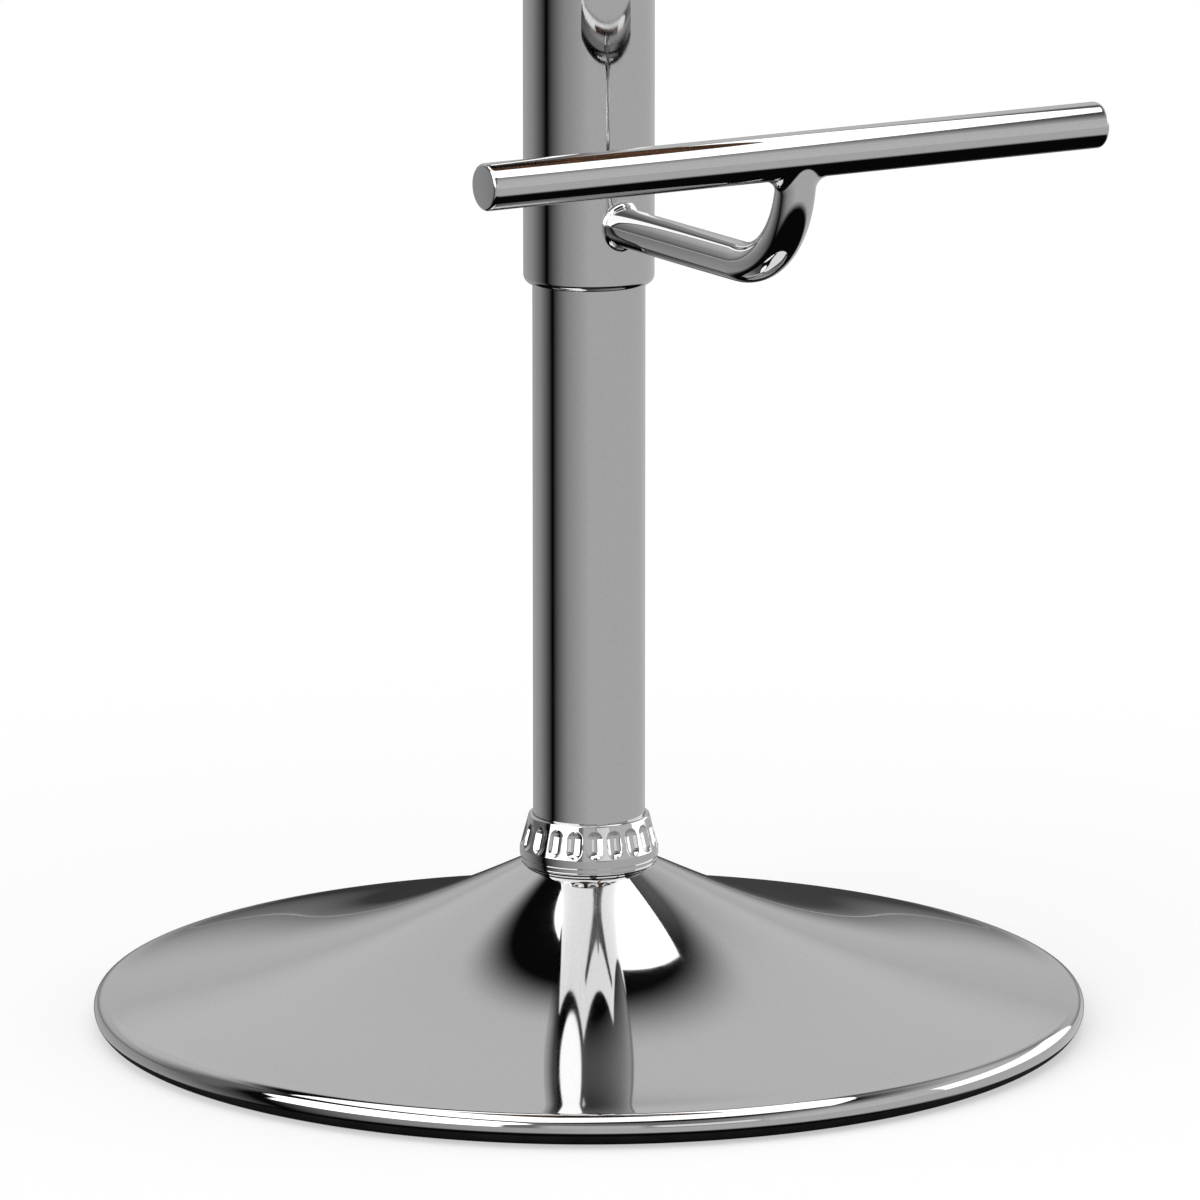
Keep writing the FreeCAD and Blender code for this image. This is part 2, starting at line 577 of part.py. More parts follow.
# Sliding sleeve, turned in at its lower lip.
sleeve = turned("sleeve_tube", [
    ("column_radius + lip_gap", "sleeve_bottom"), ("sleeve_radius", "sleeve_bottom"),
    ("sleeve_radius", "sleeve_top"), ("sleeve_inner", "sleeve_top"),
    ("sleeve_inner", "sleeve_bottom + lip_height"),
    ("column_radius + lip_gap", "sleeve_bottom + lip_height")])
round_rings(sleeve, [("sleeve_radius", "sleeve_bottom", "lip_round")])
turned("slide_bush", [
    ("column_radius + running_gap", "sleeve_bottom + lip_height"),
    ("sleeve_inner", "sleeve_bottom + lip_height"),
    ("sleeve_inner", "sleeve_bottom + lip_height + slide_bush_height"),
    ("column_radius + running_gap", "sleeve_bottom + lip_height + slide_bush_height")])
turned("sleeve_cap", [
    ("socket_radius", "sleeve_top - cap_height"), ("sleeve_inner", "sleeve_top - cap_height"),
    ("sleeve_inner", "sleeve_top"), ("sleeve_radius", "sleeve_top"),
    ("sleeve_radius", "plate_bottom"), ("socket_radius", "plate_bottom")])

# Footrest: the bent arm flares into the crossbar and into the sleeve.
bar_side = {"left": -1, "right": 1}


def lay_along_x(feature, reach, height):
    feature.Placement = Placement(Vector(0, -value(reach), value(height)), Rotation(Vector(0, 1, 0), 90))
    feature.setExpression("Placement.Base.y", "-1 * " + full(reach))
    feature.setExpression("Placement.Base.z", full(height))


bar = turned("footrest_bar", [("bar_inner", "-1 * bar_half"), ("bar_radius", "-1 * bar_half"),
                              ("bar_radius", "bar_half"), ("bar_inner", "bar_half")])
lay_along_x(bar, "bar_reach", "bar_height")
for side, sign in bar_side.items():
    plug = turned(f"footrest_plug_{side}", [
        (0, f"{sign} * (bar_half - plug_depth)"), ("bar_inner", f"{sign} * (bar_half - plug_depth)"),
        ("bar_inner", f"{sign} * bar_half"), ("bar_radius", f"{sign} * bar_half"),
        ("bar_radius", f"{sign} * (bar_half + plug_wall)"), (0, f"{sign} * (bar_half + plug_wall)")])
    round_rings(plug, [("bar_radius", f"{sign} * (bar_half + plug_wall)", "plug_round")])
    lay_along_x(plug, "bar_reach", "bar_height")


def footrest_arm():
    height = value("arm_height")
    reach = value("bar_reach")
    root = Vector(0, -value("sleeve_inner") / 2, height)
    corner = Vector(0, -reach, height)
    tip = Vector(0, -reach, value("bar_height"))
    bend = min(value("arm_bend"), tip.z - height - value("arm_end_run"))
    rod = bent_rod([root, corner, tip], value("arm_radius"), bend)
    sleeve_form = Part.makeCylinder(value("sleeve_radius"), 4 * value("arm_radius"),
                                    Vector(0, 0, height - 2 * value("arm_radius")))
    bar_form = Part.makeCylinder(value("bar_radius"), value("bar_length"),
                                 Vector(-value("bar_length") / 2, -reach, tip.z), Vector(1, 0, 0))

    def blended(form, centre, radius, limit):
        joined = rod.fuse(form)
        near = [edge for edge in joined.Edges if (edge.CenterOfMass - centre).Length < limit]
        seams = [edge for edge in near if "BSpline" in edge.Curve.TypeId or abs(edge.CenterOfMass.x) > 1]
        return joined.makeFillet(radius, seams).cut(form)

    saddle = tip - Vector(0, 0, value("bar_radius"))
    seams_near_bar = value("bar_radius + arm_radius")
    with_tip = blended(bar_form, saddle, value("arm_tip_round"), seams_near_bar)
    joined = with_tip.fuse(sleeve_form)
    root_centre = Vector(0, -value("sleeve_radius"), height)
    near = value("arm_radius") / 2
    seams = [edge for edge in joined.Edges if (edge.CenterOfMass - root_centre).Length < near]
    return joined.makeFillet(value("arm_root_round"), seams).cut(sleeve_form)


solid_feature("footrest_arm", footrest_arm())

# Seat mechanism: socket, pressed plate, lever bracket and its pin.
turned("seat_socket", [
    ("tube_radius", "socket_bottom"), ("socket_radius", "socket_bottom"), ("socket_radius", "plate_bottom"),
    ("tube_radius - tube_taper_depth * (plate_bottom - tube_shoulder) / tube_taper", "plate_bottom"),
    ("tube_radius", "tube_shoulder")])

plate = padded("mechanism_plate", "XZ_Plane", [
    ("-1 * plate_half", "seat_bottom - plate_wall"), ("-1 * channel_half", "seat_bottom - plate_wall"),
    ("-1 * channel_half", "plate_bottom"), ("channel_half", "plate_bottom"),
    ("channel_half", "seat_bottom - plate_wall"), ("plate_half", "seat_bottom - plate_wall"),
    ("plate_half", "seat_bottom"), ("channel_half - plate_wall", "seat_bottom"),
    ("channel_half - plate_wall", "plate_bottom + plate_wall"),
    ("plate_wall - channel_half", "plate_bottom + plate_wall"), ("plate_wall - channel_half", "seat_bottom"),
    ("-1 * plate_half", "seat_bottom")], "plate_depth")
seat_bolt_places = four_corners("bolt_half_x", "bolt_half_y")
drilled(plate, "XY_Plane", seat_bolt_places, "seat_bolt_radius + bolt_gap", "seat_bolt_holes")
drilled(plate, "XY_Plane", [(0, 0)], "tube_radius", "tube_hole")
lever_slot = new_sketch(plate, "lever_slot_outline", "YZ_Plane")
draw_outline(lever_slot, [
    ("-0.5 * lever_slot_width", "lever_height - lever_slot_height / 2"),
    ("0.5 * lever_slot_width", "lever_height - lever_slot_height / 2"),
    ("0.5 * lever_slot_width", "lever_height + lever_slot_height / 2"),
    ("-0.5 * lever_slot_width", "lever_height + lever_slot_height / 2")])
slot_pocket = plate.newObject("PartDesign::Pocket", "lever_slot")
slot_pocket.Profile = lever_slot
slot_pocket.setExpression("Length", full("plate_half"))

bracket = padded("lever_bracket", "YZ_Plane", [
    ("-1 * (bracket_half + bracket_wall)", "plate_bottom + plate_wall"),
    ("bracket_half + bracket_wall", "plate_bottom + plate_wall"),
    ("bracket_half + bracket_wall", "plate_bottom + plate_wall + bracket_height"),
    ("bracket_half", "plate_bottom + plate_wall + bracket_height"),
    ("bracket_half", "plate_bottom + plate_wall + bracket_wall"),
    ("-1 * bracket_half", "plate_bottom + plate_wall + bracket_wall"),
    ("-1 * bracket_half", "plate_bottom + plate_wall + bracket_height"),
    ("-1 * (bracket_half + bracket_wall)", "plate_bottom + plate_wall + bracket_height")], "bracket_length")
drilled(bracket, "XZ_Plane", [(0, "lever_height")], "pivot_radius", "pivot_holes")
bracket.setExpression("Placement.Base.x", "-1 * " + full("pivot_offset"))

pivot = turned("pivot_pin", [
    (0, "-1 * (bracket_half + bracket_wall + pivot_stand)"),
    ("pivot_radius", "-1 * (bracket_half + bracket_wall + pivot_stand)"),
    ("pivot_radius", "bracket_half + bracket_wall + pivot_stand"),
    (0, "bracket_half + bracket_wall + pivot_stand")])
pivot.Placement = Placement(Vector(-value("pivot_offset"), 0, value("lever_height")),
                            Rotation(Vector(1, 0, 0), -90))
pivot.setExpression("Placement.Base.x", "-1 * " + full("pivot_offset"))
pivot.setExpression("Placement.Base.z", full("lever_height"))


# Release lever: a bent rod with a boss on the pivot pin, and its grip.
def lever_rod():
    height = value("lever_height")
    low = height - value("lever_drop")
    points = [Vector(value("lever_tip"), 0, height), Vector(-value("lever_bend_start"), 0, height),
              Vector(-value("lever_bend_end"), 0, low), Vector(-value("lever_reach"), 0, low)]
    rod = bent_rod(points, value("lever_radius"), value("lever_bend_radius"))
    half = value("bracket_half - free_gap")
    pivot_end = Vector(-value("pivot_offset"), -half, height)
    boss = Part.makeCylinder(value("lever_boss"), 2 * half, pivot_end, Vector(0, 1, 0))
    bore = Part.makeCylinder(value("pivot_radius + running_gap"), 2 * half, pivot_end, Vector(0, 1, 0))
    return rod.fuse(boss).cut(bore)


solid_feature("lever_rod", lever_rod())
grip = turned("lever_grip", [
    ("lever_radius", 0), ("grip_radius - grip_taper", 0), ("grip_radius", "grip_start"),
    ("grip_radius", "grip_length - grip_end"), ("grip_radius - grip_taper", "grip_length"),
    (0, "grip_length"), (0, "grip_depth"), ("lever_radius", "grip_depth")])
round_rings(grip, [("grip_radius - grip_taper", "grip_length", "grip_round")])
grip.Placement = Placement(Vector(-value("lever_reach - grip_depth"), 0, value("lever_height - lever_drop")),
                           Rotation(Vector(0, 1, 0), -90))
grip.setExpression("Placement.Base.x", "-1 * " + full("(lever_reach - grip_depth)"))
grip.setExpression("Placement.Base.z", full("lever_height - lever_drop"))

# Bent plywood shell. Its side outline runs from the front lip to the top of the back.
back_angle = math.radians(value("back_angle"))
along_back = Vector(0, math.cos(back_angle), math.sin(back_angle))
off_back = Vector(0, -math.sin(back_angle), math.cos(back_angle))
bend_centre = Vector(0, value("seat_flat_rear"), value("seat_top + back_bend_radius"))
back_start = bend_centre - off_back * value("back_bend_radius")
pad_centre = back_start + along_back * value("back_pad_offset + back_pad_height / 2")
on_back = Placement(pad_centre, Rotation(Vector(1, 0, 0), value("back_angle")))


def cylinders(places, radius, bottom, height):
    return [Part.makeCylinder(value(radius), value(height), Vector(value(x), value(y), value(bottom)))
            for x, y in places]


def seat_shell():
    wall = value("seat_wall")
    lip_centre = Vector(0, -value("seat_flat_front"), value("seat_top - lip_bend_radius"))
    lip_radius = value("lip_bend_radius")
    lip_end = 90 + value("lip_bend_angle")
    bend_radius = value("back_bend_radius")
    bend_end = value("back_angle") - 90
    top_end = back_start + along_back * value("back_length")
    edges = [
        arc_about(lip_centre, lip_radius, lip_end, 90),
        Part.LineSegment(lip_centre + Vector(0, 0, lip_radius),
                         bend_centre - Vector(0, 0, bend_radius)).toShape(),
        arc_about(bend_centre, bend_radius, -90, bend_end),
        Part.LineSegment(back_start, top_end).toShape(),
        Part.LineSegment(top_end, top_end - off_back * wall).toShape(),
        Part.LineSegment(top_end - off_back * wall, back_start - off_back * wall).toShape(),
        arc_about(bend_centre, bend_radius + wall, bend_end, -90),
        Part.LineSegment(bend_centre - Vector(0, 0, bend_radius + wall),
                         lip_centre + Vector(0, 0, lip_radius - wall)).toShape(),
        arc_about(lip_centre, lip_radius - wall, 90, lip_end),
    ]
    edges.append(Part.LineSegment(edges[-1].valueAt(edges[-1].LastParameter),
                                  edges[0].valueAt(edges[0].FirstParameter)).toShape())
    half = value("seat_width") / 2
    side = Part.Face(Part.Wire(edges))
    side.translate(Vector(-half, 0, 0))
    sheet_form = side.extrude(Vector(2 * half, 0, 0))
    box = sheet_form.BoundBox
    plan = Part.makeBox(2 * half, box.YLength, box.ZLength, Vector(-half, box.YMin, box.ZMin))
    front_edges = [edge for edge in plan.Edges
                   if edge.BoundBox.YMax < box.YMin + 1 and edge.BoundBox.ZLength > 1]
    plan = plan.makeFillet(value("front_corner"), front_edges)
    top_half = value("back_top_width") / 2
    shoulder = value("seat_top")
    front = Part.Face(Part.makePolygon([Vector(x, box.YMin, z) for x, z in (
        (-half, box.ZMin), (half, box.ZMin), (half, shoulder), (top_half, box.ZMax), (-top_half, box.ZMax),
        (-half, shoulder), (-half, box.ZMin))])).extrude(Vector(0, box.YLength, 0))
    top_edges = [edge for edge in front.Edges
                 if edge.BoundBox.ZMin > box.ZMax - 1 and edge.BoundBox.YLength > 1]
    front = front.makeFillet(value("back_corner"), top_edges)
    shell = sheet_form.common(plan).common(front)
    tools = cylinders(seat_bolt_places, "tee_barrel_radius", "seat_bottom", "seat_wall")
    tools += cylinders(seat_bolt_places, "tee_flange_radius", "seat_top - tee_flange_wall", "tee_flange_wall")
    tools += cylinders(seat_screw_places, "pad_screw_radius", "seat_bottom", "seat_wall")
    for x, y in back_screw_places:
        hole = Part.makeCylinder(value("pad_screw_radius"), wall, Vector(value(x), value(y), -wall))
        hole.Placement = on_back.multiply(hole.Placement)
        tools.append(hole)
    return shell.cut(tools)


seat_screw_places = four_corners("seat_screw_x", "seat_screw_y")
back_screw_places = four_corners("back_screw_x", "back_screw_z")
solid_feature("seat_shell", seat_shell())


def bolt_group(places, radius, head_radius, head_height, bottom, length):
    """Round-headed screws whose heads end at the bottom height, with shanks above."""
    bolts = []
    for x, y in places:
        foot = Vector(value(x), value(y), value(bottom))
        head_size = value(head_height)
        head = Part.makeCylinder(value(head_radius), head_size, foot - Vector(0, 0, head_size))
        rim = [edge for edge in head.Edges if edge.BoundBox.ZMax < foot.z - head_size / 2]
        head = head.makeFillet(head_size / 2, rim)
        bolts.append(head.fuse(Part.makeCylinder(value(radius), value(length), foot)))
    return Part.makeCompound(bolts)


def tee_nuts():
    nuts = []
    for x, y in seat_bolt_places:
        barrel_drop = value("tee_barrel")
        flange_bottom = Vector(value(x), value(y), value("seat_top - tee_flange_wall"))
        flange = Part.makeCylinder(value("tee_flange_radius"), value("tee_flange_wall"), flange_bottom)
        barrel_bottom = flange_bottom - Vector(0, 0, barrel_drop)
        barrel = Part.makeCylinder(value("tee_barrel_radius"), barrel_drop, barrel_bottom)
        bore = Part.makeCylinder(value("seat_bolt_radius"), 2 * barrel_drop, barrel_bottom)
        nuts.append(flange.fuse(barrel).cut(bore))
    return Part.makeCompound(nuts)


solid_feature("seat_bolts", bolt_group(
    seat_bolt_places, "seat_bolt_radius", "seat_bolt_head", "seat_bolt_head_height",
    "seat_bottom - plate_wall", "plate_wall + seat_wall"))
solid_feature("tee_nuts", tee_nuts())
solid_feature("seat_pad_screws", bolt_group(
    seat_screw_places, "pad_screw_radius", "pad_screw_head", "pad_screw_head_height",
    "seat_bottom", "pad_screw_length"))
back_screws = solid_feature("back_screws", bolt_group(
    back_screw_places, "pad_screw_radius", "pad_screw_head", "pad_screw_head_height",
    "-1 * seat_wall", "pad_screw_length"))
back_screws.Placement = on_back


# Pads: each is a loft of rounded outlines, full at the seams, drawn in between, crowned on top.
def pad_outline(half_width, front, rear, corner, draw, height):
    """A closed outline with round corners, whose sides bow inward by a share of their length."""
    low = Vector(-half_width, -front, height)
    high = Vector(half_width, rear, height)
    spots = []
    for turn, corner_x, corner_y in ((180, low.x, low.y), (270, high.x, low.y), (0, high.x, high.y),
                                     (90, low.x, high.y)):
        centre = Vector(corner_x + (corner if corner_x < 0 else -corner),
                        corner_y + (corner if corner_y == low.y else -corner), height)
        angles = [math.radians(turn + step) for step in (0, 45, 90)]
        spots.append([centre + Vector(math.cos(angle), math.sin(angle), 0) * corner for angle in angles])
    edges = []
    for index, (first, middle, last) in enumerate(spots):
        edges.append(Part.Arc(first, middle, last).toShape())
        following = spots[(index + 1) % len(spots)][0]
        half_way = (last + following) * 0.5
        inward = Vector(0, (low.y + high.y) / 2, height) - half_way
        bow = inward.normalize() * draw * (following - last).Length
        edges.append(Part.Arc(last, half_way + bow, following).toShape())
    return Part.Wire(edges)


def pad_form(half_width, front, rear, corner, height):
    """The pad's rings run from its underside, over its side, to the edge of its crown.

    Each ring has its share of the pad's height and of its crown's width.
    """
    crown = min(half_width, (front + rear) / 2) * value("pad_crown")
    wires = []
    for rise, share in ((0, 0.1), (0.15, 0), (0.45, 0.04), (0.72, 0), (0.9, 0.16), (1, 0.7)):
        inset = share * crown
        rounding = max(corner - inset, value("pad_top_corner"))
        wires.append(pad_outline(half_width - inset, front - inset, rear - inset, rounding,
                                 value("pad_draw"), rise * height))
    return Part.makeLoft(wires, True, False)


def board_form(half_width, front, rear, corner):
    outline = pad_outline(half_width, front, rear, corner, value("board_draw"), 0)
    return Part.Face(outline).extrude(Vector(0, 0, value("board_wall")))


def pad_pair(prefix, half_width, front, rear, corner, height, screw_places, place):
    """A pad and the board it is upholstered on, which lies in the pad's underside."""
    inset = value("board_inset")
    board = board_form(half_width - inset, front - inset, rear - inset, corner - inset)
    gap = value("pad_gap")
    cushion = pad_form(half_width, front, rear, corner, height - gap)
    cushion.translate(Vector(0, 0, gap))
    cushion = cushion.cut(board)
    screws = cylinders(screw_places, "pad_screw_radius", 0, "pad_screw_length - seat_wall")
    for label, shape in ((prefix + "_board", board.cut(screws)), (prefix + "_cushion", cushion)):
        solid_feature(label, shape).Placement = place


pad_pair("seat", value("pad_width / 2"), value("pad_front"), value("pad_rear"), value("pad_corner"),
         value("pad_height"), seat_screw_places, Placement(Vector(0, 0, value("seat_top")), Rotation()))
pad_pair("back", value("back_pad_width / 2"), value("back_pad_height / 2"), value("back_pad_height / 2"),
         value("back_pad_corner"), value("back_pad_thickness"), back_screw_places, on_back)

# Check every object, then write each sub-part.
doc.recompute()
for item in doc.Objects:
    for state in ("Invalid", "Error"):
        if state in item.State:
            raise RuntimeError(f"{item.Label} failed: {state}")
sub_parts = [item for item in doc.Objects if item.TypeId in ("PartDesign::Body", "Part::Feature")]
for item in sub_parts:
    if item.Shape.isNull() or not item.Shape.isValid() or not item.Shape.Solids:
        raise RuntimeError(f"{item.Label} has no valid solid")
for item in sub_parts:
    item.Shape.exportStep(f"parts/{item.Label}.step")
print(len(sub_parts), "sub-parts written")
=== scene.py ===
import math
from collections import namedtuple

import bmesh
import bpy
import numpy as np
from mathutils import Matrix, Vector
from mathutils.bvhtree import BVHTree


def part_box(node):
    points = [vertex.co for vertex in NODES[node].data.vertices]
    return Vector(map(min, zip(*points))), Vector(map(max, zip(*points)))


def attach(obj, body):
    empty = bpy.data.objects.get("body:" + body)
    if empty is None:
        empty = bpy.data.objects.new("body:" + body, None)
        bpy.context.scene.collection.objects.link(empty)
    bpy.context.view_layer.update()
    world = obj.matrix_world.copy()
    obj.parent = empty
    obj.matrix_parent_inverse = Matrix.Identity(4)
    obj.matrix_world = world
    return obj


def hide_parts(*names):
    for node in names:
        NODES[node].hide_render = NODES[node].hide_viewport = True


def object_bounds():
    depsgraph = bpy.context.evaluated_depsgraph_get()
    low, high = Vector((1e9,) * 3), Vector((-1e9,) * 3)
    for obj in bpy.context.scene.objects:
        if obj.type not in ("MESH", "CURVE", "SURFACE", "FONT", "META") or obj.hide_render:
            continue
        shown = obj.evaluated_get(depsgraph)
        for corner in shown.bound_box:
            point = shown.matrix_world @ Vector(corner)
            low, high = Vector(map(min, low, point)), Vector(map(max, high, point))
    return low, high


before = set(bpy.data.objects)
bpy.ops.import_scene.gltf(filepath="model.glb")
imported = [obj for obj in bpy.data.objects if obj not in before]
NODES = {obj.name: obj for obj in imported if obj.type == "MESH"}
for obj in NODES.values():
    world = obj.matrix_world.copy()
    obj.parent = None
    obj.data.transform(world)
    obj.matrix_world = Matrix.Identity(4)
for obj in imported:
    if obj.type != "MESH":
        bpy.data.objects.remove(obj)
CAD_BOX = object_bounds()

# The stool's own sizes in metres, as the solids have them.
COLUMN_RADIUS = 0.025
SLEEVE_RADIUS = 0.029
SLEEVE_LIP_ROUND = 0.0036
SLEEVE_LIP_HEIGHT = 0.004
LIP_GAP = 0.00025
NECK_GAP = 0.0002
TUBE_WALL = 0.0015
COLLAR_FOOT = (0.0310, 0.0805)
COLLAR_HEAD = (0.0269, 0.0957)
COLLAR_ROUND = 0.001
COLLAR_BEADS = ((0.0310, 0.0773), (0.0300, 0.0773), (0.0300, 0.0764), (0.03065, 0.0764), (0.03065, 0.0751),
                (0.02965, 0.0751), (0.02965, 0.0742), (0.0303, 0.0742))
FLUTES = 20
FLUTE_TURN = -7.7
FLUTE_HALF_WIDTH = 0.0038
FLUTE_LENGTH = 0.0126
FLUTE_DEPTH = 0.0015
FLUTE_HEIGHT = 0.0870
BAR_RADIUS = 0.0101
BAR_HALF = 0.1545
BAR_REACH = 0.172
BAR_HEIGHT = 0.4188
PLUG_ROUND = 0.0016
AXIS_GAP = 0.00005
SHEET_WALL = 0.0015
FLARE_POINTS = ((0.030, 0.0740), (0.0605, 0.0594), (0.100, 0.0434), (0.150, 0.0292), (0.2065, 0.0172))
NECK_SLOPE = 0.49
RIM_HEIGHT = 0.0087
RIM_UPPER_RADIUS = 0.00635
RIM_LOWER_RADIUS = 0.008
# Painted reflection: below this angle the rim's round is black rubber, a dark band in place of the dark
# reflection along the rim's lower edge.
RIM_EDGE_ANGLE = 20
CREST_LEAN = 0.8
RING_FOOT = (0.2120, 0.2050)
RING_INNER_HEIGHT = 0.004
RING_GRIP = 0.005
SEAT_TOP = 0.784
PLY_WALL = 0.012
PLY_ROUND = 0.0025
PLY_FLAT = (-0.150, 0.105)
FRONT_BEND = (0.090, 25)
REAR_BEND = (0.060, 78)
BACK_LENGTH = 0.170
SHELL_HALF = 0.196
SHELL_TOP_HALF = 0.172
FRONT_CORNER = 0.075
BACK_CORNER = 0.060
BOARD_WALL = 0.004
BOARD_INSET = 0.018
PAD_OFF_PLY = 0.0003
PAD_OFF_BOARD = 0.0004

# The camera stands on the photograph's side, well back, looking a little down.
CAMERA_AZIMUTH = math.radians(30.9)
CAMERA_DISTANCE = 4.35
CAMERA_HEIGHT = 1.1373
CAMERA_PITCH = math.radians(12.25)
CAMERA_YAW = math.radians(0.065)
CAMERA_LENS = 299.7


def toward(azimuth, distance, height):
    """A place round the stool: azimuth 0 is on the camera's side, 90 on its right."""
    turn = math.radians(azimuth)
    right = Vector((math.cos(CAMERA_AZIMUTH), -math.sin(CAMERA_AZIMUTH), 0))
    front = Vector((-math.sin(CAMERA_AZIMUTH), -math.cos(CAMERA_AZIMUTH), 0))
    return (front * math.cos(turn) + right * math.sin(turn)) * distance + Vector((0, 0, height))


def make_camera():
    data = bpy.data.cameras.new("camera")
    data.lens = CAMERA_LENS
    data.sensor_width = 36
    data.clip_end = 40
    camera = bpy.data.objects.new("camera", data)
    bpy.context.scene.collection.objects.link(camera)
    camera.location = toward(0, CAMERA_DISTANCE, CAMERA_HEIGHT)
    camera.rotation_euler = (math.pi / 2 - CAMERA_PITCH, 0, -CAMERA_AZIMUTH - CAMERA_YAW)
    bpy.context.scene.camera = camera


make_camera()
bpy.context.scene.view_settings.view_transform = "Standard"


# Node trees.
class Tree:
    """Adds nodes to a node tree, each input given as another node's output or as a constant."""

    def __init__(self, tree):
        self.tree = tree

    def give(self, socket, given):
        if isinstance(given, bpy.types.NodeSocket):
            self.tree.links.new(given, socket)
        else:
            socket.default_value = given

    def add(self, kind, inputs=None, **settings):
        node = self.tree.nodes.new(kind)
        for name, setting in settings.items():
            setattr(node, name, setting)
        for name, given in (inputs or {}).items():
            self.give(node.inputs[name], given)
        return node

    def math(self, operation, first, second=0.0):
        return self.add("ShaderNodeMath", {0: first, 1: second}, operation=operation).outputs[0]

    def plus(self, first, second):
        return self.math("ADD", first, second)

    def minus(self, first, second):
        return self.math("SUBTRACT", first, second)

    def times(self, first, second):
        return self.math("MULTIPLY", first, second)

    def over(self, first, second):
        return self.math("DIVIDE", first, second)

    def larger(self, first, second):
        return self.math("MAXIMUM", first, second)

    def smooth(self, given, start, end, low=0.0, high=1.0):
        """Runs smoothly from low to high as the given value goes from start to end."""
        return self.add("ShaderNodeMapRange", {"Value": given, "From Min": start, "From Max": end,
                                               "To Min": low, "To Max": high},
                        interpolation_type="SMOOTHSTEP").outputs[0]

    def even(self, given, start, end, low=0.0, high=1.0):
        """Runs in a straight line from low to high as the given value goes from start to end."""
        return self.add("ShaderNodeMapRange", {"Value": given, "From Min": start, "From Max": end,
                                               "To Min": low, "To Max": high}).outputs[0]

    def mix(self, share, first, second):
        node = self.add("ShaderNodeMix", data_type="RGBA")
        for socket, given in ((node.inputs[0], share), (node.inputs[6], first), (node.inputs[7], second)):
            self.give(socket, given)
        return node.outputs[2]

    def noise(self, place, scale, detail=3.0, roughness=0.5):
        return self.add("ShaderNodeTexNoise", {"Vector": place, "Scale": scale, "Detail": detail,
                                               "Roughness": roughness}).outputs["Fac"]

    def stretched(self, place, scale):
        return self.add("ShaderNodeVectorMath", {0: place, 1: scale}, operation="MULTIPLY").outputs[0]

    def bump(self, height, strength, distance):
        return self.add("ShaderNodeBump", {"Height": height, "Strength": strength,
                                           "Distance": distance}).outputs["Normal"]


def new_material(name):
    material = bpy.data.materials.new(name)
    material.use_nodes = True
    material.node_tree.nodes.clear()
    return material, Tree(material.node_tree)


def finish_material(tree, shade, roughness, normal, **constants):
    shader = tree.add("ShaderNodeBsdfPrincipled",
                      {"Base Color": shade, "Roughness": roughness, "Normal": normal})
    for name, constant in constants.items():
        shader.inputs[name.replace("_", " ")].default_value = constant
    tree.add("ShaderNodeOutputMaterial", {"Surface": shader.outputs[0]})


def grey(level):
    return level, level, level, 1


def chrome(name, level, smudge, waviness):
    """Plated metal: bright, with faint wipe marks and the slight waviness of what lies under it."""
    material, tree = new_material(name)
    place = tree.add("ShaderNodeTexCoord").outputs["Object"]
    wipes = tree.noise(place, 38.0, 5.0, 0.6)
    grain = tree.noise(place, 900.0, 2.0)
    waves = tree.noise(place, 21.0, 1.0)
    roughness = tree.smooth(wipes, 0.35, 0.75, 0.03, 0.03 + smudge)
    shade = tree.mix(tree.smooth(grain, 0.3, 0.7), grey(0.96 * level), grey(level))
    finish_material(tree, shade, roughness, tree.bump(waves, 0.3, waviness), Metallic=1.0)
    return material


def coated(name, low, high, rough_low, rough_high, scale, relief, **constants):
    """A plain finish with a grain of its own: paint, rubber, moulded plastic, cast or turned metal."""
    material, tree = new_material(name)
    place = tree.add("ShaderNodeTexCoord").outputs["Object"]
    patches = tree.noise(place, scale / 12, 4.0)
    grain = tree.noise(place, scale, 4.0, 0.6)
    shade = tree.mix(tree.smooth(patches, 0.3, 0.7), (*low, 1), (*high, 1))
    roughness = tree.smooth(grain, 0.3, 0.7, rough_low, rough_high)
    finish_material(tree, shade, roughness, tree.bump(grain, 0.6, relief), **constants)
    return material


